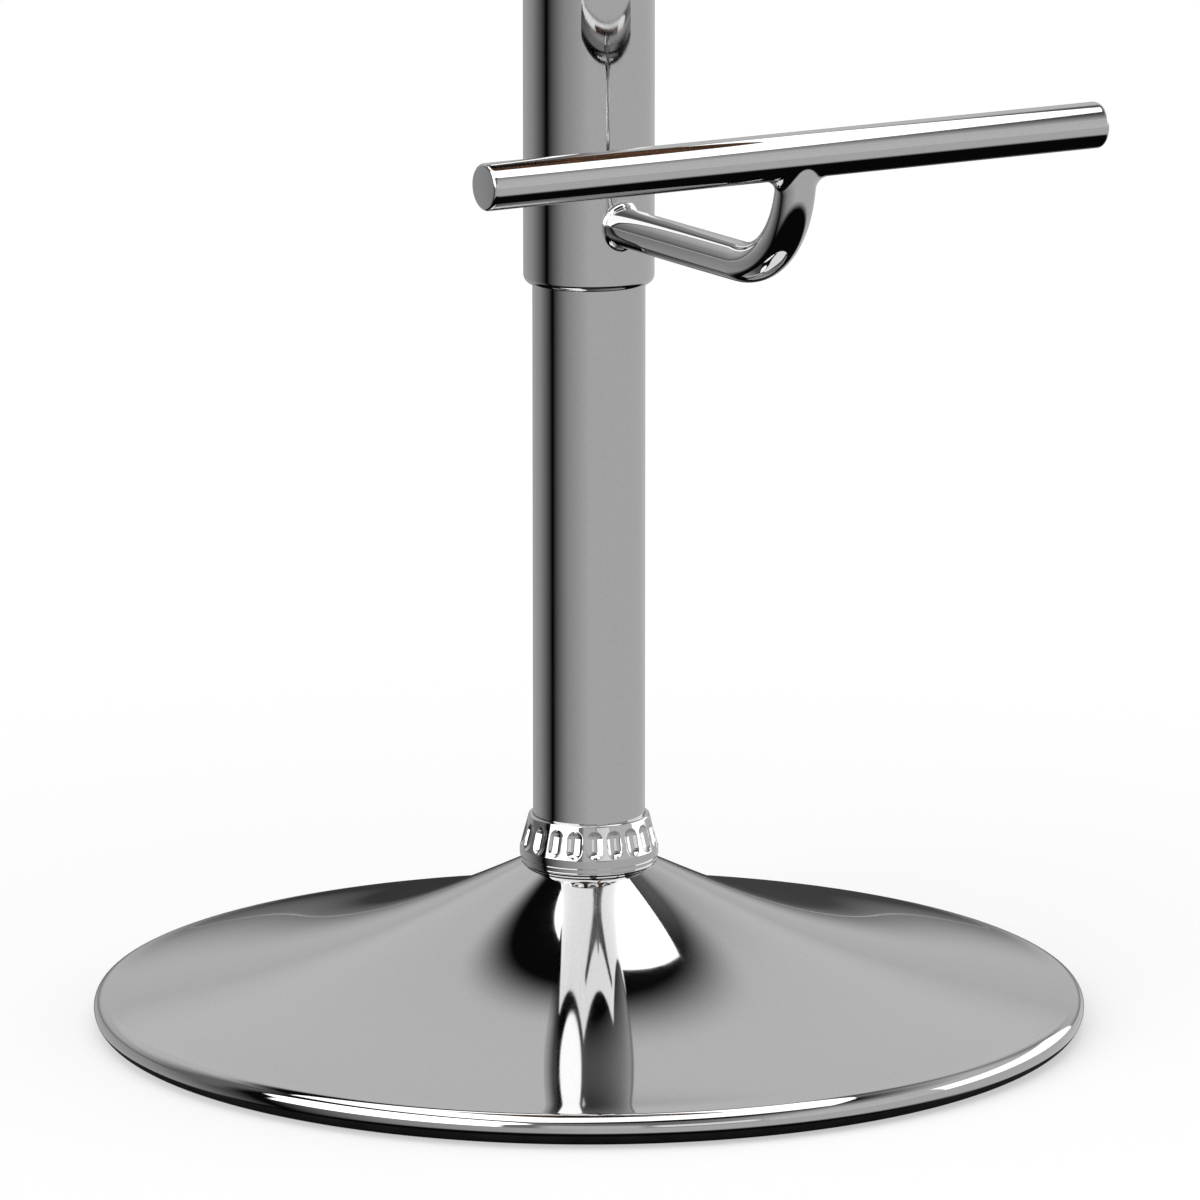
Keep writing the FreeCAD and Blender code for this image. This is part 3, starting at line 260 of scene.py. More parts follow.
def walnut_veneer():
    """Lacquered walnut faces, with the plies of the sheet showing on its edges."""
    material, tree = new_material("walnut")
    place = tree.add("ShaderNodeAttribute", attribute_name="grain").outputs["Vector"]
    parts = tree.add("ShaderNodeSeparateXYZ", {"Vector": place}).outputs
    drift = tree.noise(tree.stretched(place, (5, 1.2, 0)), 1.0, 2.0)
    bowed = tree.add("ShaderNodeCombineXYZ", {
        "X": tree.plus(parts["X"], tree.times(drift, 0.05)), "Y": parts["Y"], "Z": 0.0}).outputs[0]
    figure = tree.noise(tree.stretched(bowed, (34, 1.4, 1)), 1.0, 3.0, 0.55)
    lines = tree.noise(tree.stretched(bowed, (190, 4.5, 1)), 1.0, 4.0, 0.6)
    pores = tree.noise(tree.stretched(bowed, (2300, 75, 1)), 1.0, 2.0, 0.5)
    face = tree.mix(tree.smooth(figure, 0.32, 0.68), (0.125, 0.056, 0.027, 1), (0.265, 0.125, 0.062, 1))
    face = tree.mix(tree.smooth(lines, 0.45, 0.72, 0.0, 0.6), face, (0.085, 0.036, 0.017, 1))
    pore = tree.smooth(pores, 0.63, 0.74)
    face = tree.mix(tree.times(pore, 0.7), face, (0.03, 0.013, 0.007, 1))
    depth = tree.times(parts["Z"], 1 / PLY_WALL)
    layer = tree.math("FRACT", tree.times(depth, 3.5))
    ply = tree.smooth(tree.math("ABSOLUTE", tree.minus(layer, 0.5)), 0.21, 0.29)
    speck = tree.noise(tree.stretched(place, (300, 300, 900)), 1.0, 3.0)
    edge = tree.mix(ply, (0.23, 0.12, 0.062, 1), (0.10, 0.047, 0.024, 1))
    edge = tree.mix(tree.smooth(speck, 0.4, 0.7, 0.0, 0.5), edge, (0.15, 0.075, 0.038, 1))
    inside = tree.times(tree.smooth(depth, 0.045, 0.06), tree.smooth(depth, 0.955, 0.94))
    shade = tree.mix(inside, face, edge)
    roughness = tree.smooth(lines, 0.3, 0.7, 0.30, 0.38)
    relief = tree.minus(tree.times(lines, 0.25), pore)
    finish_material(tree, shade, roughness, tree.bump(relief, 0.35, 0.00012), Coat_Weight=0.35,
                    Coat_Roughness=0.12)
    return material


def birch_plywood():
    material, tree = new_material("plywood")
    place = tree.add("ShaderNodeTexCoord").outputs["Object"]
    lines = tree.noise(tree.stretched(place, (160, 6, 160)), 1.0, 4.0)
    shade = tree.mix(tree.smooth(lines, 0.3, 0.7), (0.42, 0.29, 0.17, 1), (0.60, 0.45, 0.28, 1))
    finish_material(tree, shade, 0.65, tree.bump(lines, 0.4, 0.0001))
    return material


def leatherette(name, relief=0.00022):
    """Dark brown coated cloth with a small pebbled grain and painted shade in its creases, polished a little
    where it is sat on.
    """
    material, tree = new_material(name)
    place = tree.add("ShaderNodeTexCoord").outputs["Object"]
    bend = tree.add("ShaderNodeTexNoise", {"Vector": place, "Scale": 260.0, "Detail": 1.0}).outputs["Color"]
    moved = tree.add("ShaderNodeVectorMath", {0: tree.stretched(bend, (0.0022, 0.0022, 0.0022)), 1: place},
                     operation="ADD").outputs[0]
    pebbles = tree.add("ShaderNodeTexVoronoi", {"Vector": moved, "Scale": 620.0}, feature="DISTANCE_TO_EDGE")
    crease = tree.smooth(pebbles.outputs["Distance"], 0.0, 0.13)
    worn = tree.noise(place, 9.0, 3.0)
    fine = tree.noise(place, 1900.0, 2.0)
    shade = tree.mix(tree.smooth(worn, 0.3, 0.7), (0.030, 0.0165, 0.0105, 1), (0.043, 0.025, 0.016, 1))
    # Painted shade: the creases between the pebbles are darkened towards near black.
    shade = tree.mix(tree.smooth(crease, 0.0, 1.0, 0.55, 0.0), shade, (0.010, 0.006, 0.004, 1))
    roughness = tree.smooth(worn, 0.3, 0.7, 0.50, 0.40)
    height = tree.plus(crease, tree.times(fine, 0.25))
    finish_material(tree, shade, roughness, tree.bump(height, 0.6, relief), Specular_IOR_Level=0.3)
    return material


def thread():
    material, tree = new_material("thread")
    place = tree.add("ShaderNodeTexCoord").outputs["Object"]
    twist = tree.noise(place, 2600.0, 2.0)
    shade = tree.mix(tree.smooth(twist, 0.35, 0.65), (0.10, 0.066, 0.046, 1), (0.19, 0.13, 0.09, 1))
    finish_material(tree, shade, 0.6, tree.bump(twist, 0.5, 0.0001))
    return material


CHROME_LEVEL = 0.55
chrome_plate = chrome("chrome_plate", CHROME_LEVEL, smudge=0.02, waviness=0.00001)
chrome_tube = chrome("chrome_tube", CHROME_LEVEL, smudge=0.06, waviness=0.00003)
# Painted reflection: this rubber is near black so that the ring's band under the rim reads as the rim's dark
# reflection. The bump stop and piston seal share it as plain rubber.
black_rubber = coated("black_rubber", (0.003,) * 3, (0.006,) * 3, 0.7, 0.85, 900, 0.00005,
                      Specular_IOR_Level=0.15)
black_plastic = coated("black_plastic", (0.016, 0.016, 0.017), (0.026, 0.026, 0.027), 0.35, 0.5, 1400,
                       0.00004)
black_paint = coated("black_paint", (0.014, 0.014, 0.015), (0.022, 0.022, 0.023), 0.32, 0.45, 1100,
                     0.00006)
zinc = coated("zinc", (0.42, 0.42, 0.40), (0.55, 0.55, 0.53), 0.25, 0.4, 500, 0.00002, Metallic=1.0)
ground_steel = coated("ground_steel", (0.5, 0.5, 0.5), (0.6, 0.6, 0.61), 0.18, 0.3, 700, 0.00002,
                      Metallic=1.0)
cast_iron = coated("cast_iron", (0.03, 0.03, 0.032), (0.05, 0.05, 0.052), 0.6, 0.85, 400, 0.0002)
walnut = walnut_veneer()
plywood = birch_plywood()
hide = leatherette("leatherette")
hide_cord = leatherette("leatherette_piping", relief=0.00012)
sewing_thread = thread()


# Pieces.
def new_piece(name, points, faces, material, edges=(), sharp=35):
    mesh = bpy.data.meshes.new(name)
    mesh.from_pydata([tuple(point) for point in points], edges, faces)
    piece = bpy.data.objects.new(name, mesh)
    bpy.context.scene.collection.objects.link(piece)
    if faces:
        finish_mesh(piece, material, sharp)
    return piece


def finish_mesh(piece, material, sharp=35):
    """Turns the faces outwards and shades them smoothly up to the sharp angle."""
    mesh = piece.data
    work = bmesh.new()
    work.from_mesh(mesh)
    bmesh.ops.recalc_face_normals(work, faces=work.faces)
    work.to_mesh(mesh)
    work.free()
    mesh.polygons.foreach_set("use_smooth", [True] * len(mesh.polygons))
    mesh.set_sharp_from_angle(angle=math.radians(sharp))
    if material and not mesh.materials:
        mesh.materials.append(material)


def ready(piece, body, slot, *nodes):
    """Hands a finished piece to its body, in place of the nodes it stands for, which it hides. The slot is
    not used.
    """
    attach(piece, body)
    if nodes:
        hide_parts(*nodes)


def new_tree(name, sizes):
    """A Geometry Nodes tree with named inputs for its sizes."""
    tree = bpy.data.node_groups.new(name, "GeometryNodeTree")
    tree.interface.new_socket("Geometry", in_out="INPUT", socket_type="NodeSocketGeometry")
    for size_name, kind in sizes.items():
        tree.interface.new_socket(size_name, in_out="INPUT", socket_type="NodeSocket" + kind)
    tree.interface.new_socket("Geometry", in_out="OUTPUT", socket_type="NodeSocketGeometry")
    make = Tree(tree)
    return make, make.add("NodeGroupInput").outputs


def end_tree(make, geometry, material):
    whole = make.add("GeometryNodeRealizeInstances", {"Geometry": geometry}).outputs[0]
    coated_whole = make.add("GeometryNodeSetMaterial", {"Geometry": whole, "Material": material}).outputs[0]
    make.add("NodeGroupOutput", {"Geometry": coated_whole})
    return make.tree


def apply_modifiers(piece):
    """Keeps what its modifiers make of a piece as the piece's plain mesh."""
    bpy.context.view_layer.update()
    evaluated = piece.evaluated_get(bpy.context.evaluated_depsgraph_get())
    mesh = bpy.data.meshes.new_from_object(evaluated)
    piece.modifiers.clear()
    piece.data = mesh


def run_tree(piece, tree, **sizes):
    """Runs a tree on a piece and keeps the result as the piece's plain mesh."""
    modifier = piece.modifiers.new(tree.name, "NODES")
    modifier.node_group = tree
    for item in tree.interface.items_tree:
        if item.in_out == "INPUT" and item.name in sizes:
            modifier[item.identifier] = sizes[item.name]
    apply_modifiers(piece)


def turning_tree():
    """Turns an outline about the Z axis: X is its radius past the turning radius, Y its depth."""
    make, sizes = new_tree("turning", {"Segments": "Int", "Turning_radius": "Float", "Material": "Material"})
    outline = make.add("GeometryNodeMeshToCurve", {"Mesh": sizes["Geometry"]}).outputs[0]
    ring = make.add("GeometryNodeCurvePrimitiveCircle", {"Resolution": sizes["Segments"],
                                                         "Radius": sizes["Turning_radius"]}).outputs[0]
    solid = make.add("GeometryNodeCurveToMesh", {"Curve": ring, "Profile Curve": outline}).outputs[0]
    return end_tree(make, solid, sizes["Material"])


def stitching_tree():
    """Lays one stitch after another along a line."""
    make, sizes = new_tree("stitching", {"Pitch": "Float", "Stitch_length": "Float", "Thread_radius": "Float",
                                         "Material": "Material"})
    line = make.add("GeometryNodeMeshToCurve", {"Mesh": sizes["Geometry"]}).outputs[0]
    spots = make.add("GeometryNodeCurveToPoints", {"Curve": line, "Length": sizes["Pitch"]}, mode="LENGTH")
    stitch = make.add("GeometryNodeMeshIcoSphere", {"Radius": 1.0, "Subdivisions": 2}).outputs[0]
    turn = make.add("FunctionNodeAlignEulerToVector", {"Vector": spots.outputs["Tangent"]},
                    axis="X").outputs[0]
    thickness = sizes["Thread_radius"]
    scale = make.add("ShaderNodeCombineXYZ", {"X": make.times(sizes["Stitch_length"], 0.5),
                                              "Y": thickness, "Z": thickness}).outputs[0]
    row = make.add("GeometryNodeInstanceOnPoints", {"Points": spots.outputs["Points"], "Instance": stitch,
                                                    "Rotation": turn, "Scale": scale}).outputs[0]
    smooth = make.add("GeometryNodeSetShadeSmooth", {"Geometry": row}).outputs[0]
    return end_tree(make, smooth, sizes["Material"])


def piping_tree():
    """Runs a round cord along a line."""
    make, sizes = new_tree("piping", {"Radius": "Float", "Sides": "Int", "Material": "Material"})
    line = make.add("GeometryNodeMeshToCurve", {"Mesh": sizes["Geometry"]}).outputs[0]
    ring = make.add("GeometryNodeCurvePrimitiveCircle", {"Resolution": sizes["Sides"],
                                                         "Radius": sizes["Radius"]}).outputs[0]
    cord = make.add("GeometryNodeCurveToMesh",
                    {"Curve": line, "Profile Curve": ring, "Fill Caps": True}).outputs[0]
    return end_tree(make, cord, sizes["Material"])


def fluting_tree():
    """Sinks round-ended flutes into a turned cone, evenly spaced about the Z axis."""
    make, sizes = new_tree("fluting", {
        "Count": "Float", "Turn": "Float", "Half_width": "Float", "Half_length": "Float", "Depth": "Float",
        "Middle_height": "Float", "Lean": "Float", "Material": "Material"})
    spot = make.add("GeometryNodeInputPosition").outputs[0]
    parts = make.add("ShaderNodeSeparateXYZ", {"Vector": spot}).outputs
    radius = make.math("SQRT", make.plus(make.times(parts["X"], parts["X"]),
                                         make.times(parts["Y"], parts["Y"])))
    turn = make.minus(make.math("ARCTAN2", parts["Y"], parts["X"]), sizes["Turn"])
    pitch = make.over(2 * math.pi, sizes["Count"])
    share = make.over(turn, pitch)
    across = make.times(radius, make.times(make.minus(share, make.math("ROUND", share)), pitch))
    rise = make.over(make.minus(parts["Z"], sizes["Middle_height"]), make.math("COSINE", sizes["Lean"]))
    past_end = make.larger(make.minus(make.math("ABSOLUTE", rise), sizes["Half_length"]), 0.0)
    away = make.plus(make.times(across, across), make.times(past_end, past_end))
    width = make.times(sizes["Half_width"], sizes["Half_width"])
    tool = make.over(make.plus(width, make.times(sizes["Depth"], sizes["Depth"])),
                     make.times(sizes["Depth"], 2.0))
    reach = make.math("SQRT", make.larger(make.minus(make.times(tool, tool), away), 0.0))
    fall = make.over(make.times(across, across), make.times(radius, 2.0))
    sunk = make.larger(make.minus(make.minus(reach, fall), make.minus(tool, sizes["Depth"])), 0.0)
    inward = make.over(make.times(sunk, make.math("COSINE", sizes["Lean"])), radius)
    down = make.times(sunk, make.math("SINE", sizes["Lean"]))
    offset = make.add("ShaderNodeCombineXYZ", {
        "X": make.times(make.times(parts["X"], inward), -1.0),
        "Y": make.times(make.times(parts["Y"], inward), -1.0), "Z": make.times(down, -1.0)}).outputs[0]
    sunk_piece = make.add("GeometryNodeSetPosition",
                          {"Geometry": sizes["Geometry"], "Offset": offset}).outputs[0]
    return end_tree(make, sunk_piece, sizes["Material"])


TURNING = turning_tree()
STITCHING = stitching_tree()
PIPING = piping_tree()
FLUTING = fluting_tree()


def outline_piece(name, points, closed):
    count = len(points)
    edges = [(index, (index + 1) % count) for index in range(count if closed else count - 1)]
    return new_piece(name, points, [], None, edges)


def arc(centre, radius, start, end, count):
    """Points on an arc between two angles in degrees."""
    turns = np.radians(np.linspace(start, end, count))
    return [(centre[0] + radius * math.cos(turn), centre[1] + radius * math.sin(turn)) for turn in turns]


def tangents(line):
    """The unit vectors along a line of points."""
    found = np.gradient(line, axis=0)
    return found / np.linalg.norm(found, axis=1)[:, None]


def turned(name, outline, material, segments=256):
    """A closed outline of radius and height, turned about the Z axis."""
    middle = sum(r for r, z in outline) / len(outline)
    piece = outline_piece(name, [(r - middle, -z, 0) for r, z in outline], closed=True)
    run_tree(piece, TURNING, Segments=segments, Turning_radius=middle, Material=material)
    finish_mesh(piece, material)
    return piece


# Turned pieces: base, rubber ring, column, sleeve and crossbar. The rubber ring's band under the rim is a
# painted reflection.
def spline_slopes(lengths, knots, first, last):
    """Slopes at the knots that give a curve without kinks in its bend."""
    count = len(knots)
    spans = np.diff(lengths)
    left = np.eye(count)
    right = np.zeros((count, 2))
    right[0] = first
    right[-1] = last
    for index in range(1, count - 1):
        before, after = spans[index - 1], spans[index]
        left[index, index - 1:index + 2] = after, 2 * (before + after), before
        right[index] = 3 * (after * (knots[index] - knots[index - 1]) / before
                            + before * (knots[index + 1] - knots[index]) / after)
    return np.linalg.solve(left, right)


def flare_line():
    """The flare's outline from the neck to the rim: one smooth curve through its points."""
    centre = (CAD_BOX[1].x - RIM_UPPER_RADIUS, RIM_HEIGHT)
    (r1, z1), (r2, z2) = FLARE_POINTS[-2:]
    lean = math.atan((z1 - z2) / (r2 - r1) * CREST_LEAN)
    bore = COLUMN_RADIUS + NECK_GAP
    start = (bore, FLARE_POINTS[0][1] + (FLARE_POINTS[0][0] - bore) * NECK_SLOPE)
    crest = (centre[0] + math.sin(lean) * RIM_UPPER_RADIUS, centre[1] + math.cos(lean) * RIM_UPPER_RADIUS)
    knots = np.array([start, *FLARE_POINTS, crest])
    lengths = np.concatenate([[0], np.cumsum(np.linalg.norm(np.diff(knots, axis=0), axis=1))])
    first = np.array([1, -NECK_SLOPE]) / math.hypot(1, NECK_SLOPE)
    last = np.array([math.cos(lean), -math.sin(lean)])
    slopes = spline_slopes(lengths, knots, first, last)
    line = []
    for index in range(len(knots) - 1):
        span = lengths[index + 1] - lengths[index]
        for share in np.linspace(0, 1, 18, endpoint=False):
            line.append(tuple((2 * share ** 3 - 3 * share ** 2 + 1) * knots[index]
                              + (share ** 3 - 2 * share ** 2 + share) * span * slopes[index]
                              + (3 * share ** 2 - 2 * share ** 3) * knots[index + 1]
                              + (share ** 3 - share ** 2) * span * slopes[index + 1]))
    return line, centre, math.degrees(lean)


RIM_CENTRE = (CAD_BOX[1].x - RIM_LOWER_RADIUS, RIM_HEIGHT)


def base_outline():
    line, upper, lean = flare_line()
    outside = line + arc(upper, RIM_UPPER_RADIUS, 90 - lean, 0, 20)
    outside += arc(RIM_CENTRE, RIM_LOWER_RADIUS, 0, -RIM_EDGE_ANGLE, 14)[1:]
    inside = arc(RIM_CENTRE, RIM_LOWER_RADIUS - SHEET_WALL, -RIM_EDGE_ANGLE, 0, 8)
    inside += arc(upper, RIM_UPPER_RADIUS - SHEET_WALL, 0, 90 - lean, 8)[1:]
    middle = np.array(line[::-6])
    tangent = tangents(middle)
    moved = middle + SHEET_WALL * np.stack([-tangent[:, 1], tangent[:, 0]], axis=1)
    moved[-1][0] = line[0][0]
    return outside + inside + [tuple(point) for point in moved[1:]]


# The rubber ring is a real part. Its band from RIM_EDGE_ANGLE down the rim's round is a painted reflection,
# black where the chrome reflects dark.
def ring_outline():
    inner = RIM_LOWER_RADIUS - SHEET_WALL
    return (arc(RIM_CENTRE, RIM_LOWER_RADIUS, -RIM_EDGE_ANGLE, -90, 20)
            + [(RING_FOOT[0], 0), (RING_FOOT[1], 0), (RING_FOOT[1], RING_INNER_HEIGHT)]
            + arc(RIM_CENTRE, RING_GRIP, -90, 0, 14) + arc(RIM_CENTRE, inner, 0, -RIM_EDGE_ANGLE, 6))


def sleeve_outline(low, high):
    lip = arc((SLEEVE_RADIUS - SLEEVE_LIP_ROUND, low + SLEEVE_LIP_ROUND), SLEEVE_LIP_ROUND, -90, 0, 14)
    bore = COLUMN_RADIUS + LIP_GAP
    inside = SLEEVE_RADIUS - TUBE_WALL
    return [(bore, low)] + lip + [(SLEEVE_RADIUS, high), (inside, high), (inside, low + SLEEVE_LIP_HEIGHT),
                                  (bore, low + SLEEVE_LIP_HEIGHT)]


def collar_lean():
    return math.atan2(COLLAR_FOOT[0] - COLLAR_HEAD[0], COLLAR_HEAD[1] - COLLAR_FOOT[1])


def collar_outline():
    """The collar's outline, with its cone in fine steps for the flutes."""
    bore = COLUMN_RADIUS + NECK_GAP
    lean = collar_lean()
    middle = (COLLAR_HEAD[0] - COLLAR_ROUND * (1 / math.cos(lean) - math.tan(lean)),
              COLLAR_HEAD[1] - COLLAR_ROUND)
    shoulder = arc(middle, COLLAR_ROUND, math.degrees(lean), 90, 8)
    cone = [tuple(np.array(COLLAR_FOOT) + (np.array(shoulder[0]) - COLLAR_FOOT) * share)
            for share in np.linspace(0, 1, 62, endpoint=False)]
    neck = FLARE_POINTS[0]
    foot = [(r, neck[1] + (neck[0] - r) * NECK_SLOPE) for r in (COLLAR_BEADS[-1][0], bore)]
    return [foot[1], foot[0]] + list(reversed(COLLAR_BEADS)) + cone + shoulder + [(bore, COLLAR_HEAD[1])]


def tube_outline(radius, low, high):
    return [(radius, low), (radius, high), (radius - TUBE_WALL, high), (radius - TUBE_WALL, low)]


def laid_along_x(piece, reach, height):
    """Lays a turned piece along X, in its mesh."""
    place = Matrix.Translation((0, -reach, height)) @ Matrix.Rotation(math.pi / 2, 4, "Y")
    piece.data.transform(place)
    return piece


ready(turned("base", base_outline(), chrome_plate, segments=512), "base", "chrome_base", "base_shell")
ready(turned("rubber_ring_and_painted_band", ring_outline(), black_rubber, segments=512), "base", "black_rubber", "floor_ring")
collar = turned("collar", collar_outline(), chrome_plate, segments=960)
run_tree(collar, FLUTING, Count=float(FLUTES), Turn=math.radians(FLUTE_TURN), Half_width=FLUTE_HALF_WIDTH,
         Half_length=FLUTE_LENGTH / 2 - FLUTE_HALF_WIDTH, Depth=FLUTE_DEPTH, Middle_height=FLUTE_HEIGHT,
         Lean=collar_lean(), Material=chrome_plate)
finish_mesh(collar, chrome_plate)
ready(collar, "base", "chrome_trim", "trim_collar")
low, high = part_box("stand_tube")
ready(turned("column", tube_outline(COLUMN_RADIUS, low.z, high.z), chrome_tube), "base", "chrome_tube",
      "stand_tube")
low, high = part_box("sleeve_tube")
ready(turned("sleeve", sleeve_outline(low.z, high.z), chrome_tube), "upper", "chrome_tube", "sleeve_tube")

low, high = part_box("footrest_bar")
rail = turned("footrest_rail", tube_outline(BAR_RADIUS, low.x, high.x), chrome_plate, segments=128)
ready(laid_along_x(rail, BAR_REACH, BAR_HEIGHT), "upper", "chrome_footrest", "footrest_bar")
for side, sign in (("left", -1), ("right", 1)):
    rim = arc((BAR_RADIUS - PLUG_ROUND, BAR_HALF - PLUG_ROUND), PLUG_ROUND, 0, 90, 10)
    outline = [(BAR_RADIUS, high.x)] + rim + [(AXIS_GAP, BAR_HALF), (AXIS_GAP, high.x)]
    plug = turned("rail_end_" + side, [(r, sign * z) for r, z in outline], chrome_plate, segments=128)
    ready(laid_along_x(plug, BAR_REACH, BAR_HEIGHT), "upper", "chrome_footrest", "footrest_plug_" + side)


# Bent plywood shell: a flat outline of length along the sheet and width, laid over the bends.
FRONT_RUN = FRONT_BEND[0] * math.radians(FRONT_BEND[1])
FLAT_RUN = PLY_FLAT[1] - PLY_FLAT[0]
REAR_RUN = REAR_BEND[0] * math.radians(REAR_BEND[1])
SHELL_RUN = FRONT_RUN + FLAT_RUN + REAR_RUN + BACK_LENGTH
BACK_TURN = math.radians(REAR_BEND[1])
ALONG_BACK = Vector((0, math.cos(BACK_TURN), math.sin(BACK_TURN)))
OFF_BACK = Vector((0, -math.sin(BACK_TURN), math.cos(BACK_TURN)))
BACK_START = Vector((0, PLY_FLAT[1], SEAT_TOP + REAR_BEND[0])) - OFF_BACK * REAR_BEND[0]


def on_shell(run, across, depth):
    """The place in space of a spot on the sheet, at a depth below its upper face."""
    if run < FRONT_RUN:
        turn = (FRONT_RUN - run) / FRONT_BEND[0]
        centre = Vector((0, PLY_FLAT[0], SEAT_TOP - FRONT_BEND[0]))
        normal = Vector((0, -math.sin(turn), math.cos(turn)))
        spot = centre + normal * FRONT_BEND[0]
    elif run < FRONT_RUN + FLAT_RUN:
        normal = Vector((0, 0, 1))
        spot = Vector((0, PLY_FLAT[0] + run - FRONT_RUN, SEAT_TOP))
    elif run < FRONT_RUN + FLAT_RUN + REAR_RUN:
        turn = (run - FRONT_RUN - FLAT_RUN) / REAR_BEND[0]
        centre = Vector((0, PLY_FLAT[1], SEAT_TOP + REAR_BEND[0]))
        normal = Vector((0, -math.sin(turn), math.cos(turn)))
        spot = centre - normal * REAR_BEND[0]
    else:
        normal = OFF_BACK
        spot = BACK_START + ALONG_BACK * (run - FRONT_RUN - FLAT_RUN - REAR_RUN)
    return spot + Vector((across, 0, 0)) - normal * depth


def run_at_y(y):
    """Length along the sheet of a place on the front bend or the flat."""
    if y < PLY_FLAT[0]:
        return FRONT_RUN - FRONT_BEND[0] * math.asin((PLY_FLAT[0] - y) / FRONT_BEND[0])
    return FRONT_RUN + y - PLY_FLAT[0]


def run_at_z(z):
    """Length along the sheet of a height on the back."""
    return FRONT_RUN + FLAT_RUN + REAR_RUN + (z - BACK_START.z) / ALONG_BACK.z


def shell_side():
    """The right-hand edge of the sheet, from its front edge to its top edge."""
    front_y = on_shell(0, 0, 0).y
    top_z = on_shell(SHELL_RUN, 0, 0).z
    side = []
    for y, x in arc((front_y + FRONT_CORNER, SHELL_HALF - FRONT_CORNER), FRONT_CORNER, 180, 90, 28):
        side.append((run_at_y(max(y, front_y)), x))
    slant = Vector((SHELL_TOP_HALF - SHELL_HALF, top_z - SEAT_TOP)).normalized()
    outward = Vector((slant.y, -slant.x))
    lean = math.degrees(math.atan2(outward.y, outward.x))
    centre_z = top_z - BACK_CORNER
    centre_x = SHELL_TOP_HALF - (BACK_CORNER - outward.y * BACK_CORNER) / outward.x
    corner = [(run_at_z(min(z, top_z)), x)
              for x, z in arc((centre_x, centre_z), BACK_CORNER, lean, 90, 26)]
    start = side[-1][0]
    for run in np.linspace(start, corner[0][0], 74)[1:-1]:
        rise = max(0.0, on_shell(run, 0, 0).z - SEAT_TOP)
        side.append((run, SHELL_HALF + slant.x / slant.y * rise))
    return np.array(side + corner)


def plywood_shell(name, columns=44):
    side = shell_side()
    tangent = tangents(side)
    inward = np.stack([tangent[:, 1], -tangent[:, 0]], axis=1)
    inward[0] = 1, 0
    inward[-1] = -1, 0
    shares = np.linspace(-1, 1, columns)
    rows = len(side)
    bend = np.radians(np.linspace(0, 90, 6))
    levels = [(PLY_ROUND * (1 - math.sin(turn)), PLY_ROUND * (1 - math.cos(turn))) for turn in bend]
    levels += [(0, depth) for depth in np.linspace(PLY_ROUND, PLY_WALL - PLY_ROUND, 6)[1:-1]]
    levels += [(inset, PLY_WALL - depth) for inset, depth in levels[5::-1]]
    points, grain, faces = [], [], []

    def add_point(run, across, depth):
        points.append(on_shell(run, across, depth))
        grain.extend((across, run, depth))
        return len(points) - 1

    def full_grid(inset, depth):
        edge = side + inward * inset
        return [[add_point(run, share * half, depth) for share in shares] for run, half in edge]

    def rim_of(grid):
        right = [row[-1] for row in grid]
        left = [row[0] for row in grid]
        return grid[0] + right[1:] + grid[-1][-2::-1] + left[-2:0:-1]

    def rim_only(inset, depth):
        edge = side + inward * inset
        ring = [add_point(edge[0][0], share * edge[0][1], depth) for share in shares]
        ring += [add_point(run, half, depth) for run, half in edge[1:]]
        ring += [add_point(edge[-1][0], share * edge[-1][1], depth) for share in shares[-2::-1]]
        ring += [add_point(run, -half, depth) for run, half in edge[-2:0:-1]]
        return ring

    top = full_grid(*levels[0])
    bottom = full_grid(*levels[-1])
    for grid in (top, bottom):
        for row in range(rows - 1):
            for column in range(columns - 1):
                faces.append((grid[row][column], grid[row][column + 1], grid[row + 1][column + 1],
                              grid[row + 1][column]))
    rings = [rim_of(top)] + [rim_only(*level) for level in levels[1:-1]] + [rim_of(bottom)]
    for upper, lower in zip(rings, rings[1:]):
        for index in range(len(upper)):
            after = (index + 1) % len(upper)
            faces.append((upper[index], upper[after], lower[after], lower[index]))
    piece = new_piece(name, points, faces, walnut)
    piece.data.attributes.new("grain", "FLOAT_VECTOR", "POINT").data.foreach_set("vector", grain)
    return piece


ready(plywood_shell("bent_seat"), "upper", "walnut", "seat_shell")


# Pads. Each is worked in its own frame: X across, Y along the board, Z out of it.
PadSizes = namedtuple("PadSizes", "half front rear corner height")
SEAT_PAD = PadSizes(half=0.178, front=0.166, rear=0.112, corner=0.062, height=0.046)
BACK_PAD = PadSizes(half=0.158, front=0.072, rear=0.072, corner=0.046, height=0.030)
BACK_PAD_OFFSET = 0.012
SEAT_PLACE = Matrix.Translation((0, 0, SEAT_TOP))
BACK_PLACE = (Matrix.Translation(BACK_START + ALONG_BACK * (BACK_PAD_OFFSET + BACK_PAD.front))
              @ Matrix.Rotation(BACK_TURN, 4, "X"))
PAD_SEAMS = (-0.062, 0.062)
PAD_DRAW = 0.008
SEAM_SHARE = 0.66
PIPING_RADIUS = 0.0026
PIPING_INSET = 0.0022
FOLD_RADIUS = 0.0008
FOLD_MARGIN = 0.006
FOLD_STEP = 0.002
FOLD_LIFT = 0.0001
STITCH_OFF_FOLD = 0.0042
STITCH_PITCH = 0.0042
STITCH_LENGTH = 0.0034
THREAD_RADIUS = 0.00034
STITCH_LIFT = 0.00015

# The cover before its foam fills it: smaller than its solid, in even faces, held along these bands.
COVER_INSET = 0.004
COVER_LOW = 0.90
COVER_FACE = 0.0045
WELT_BAND = 0.0024
FOLD_BAND = 0.0026
FOLD_SINK = 0.0035
STUFFING_FRAMES = 20


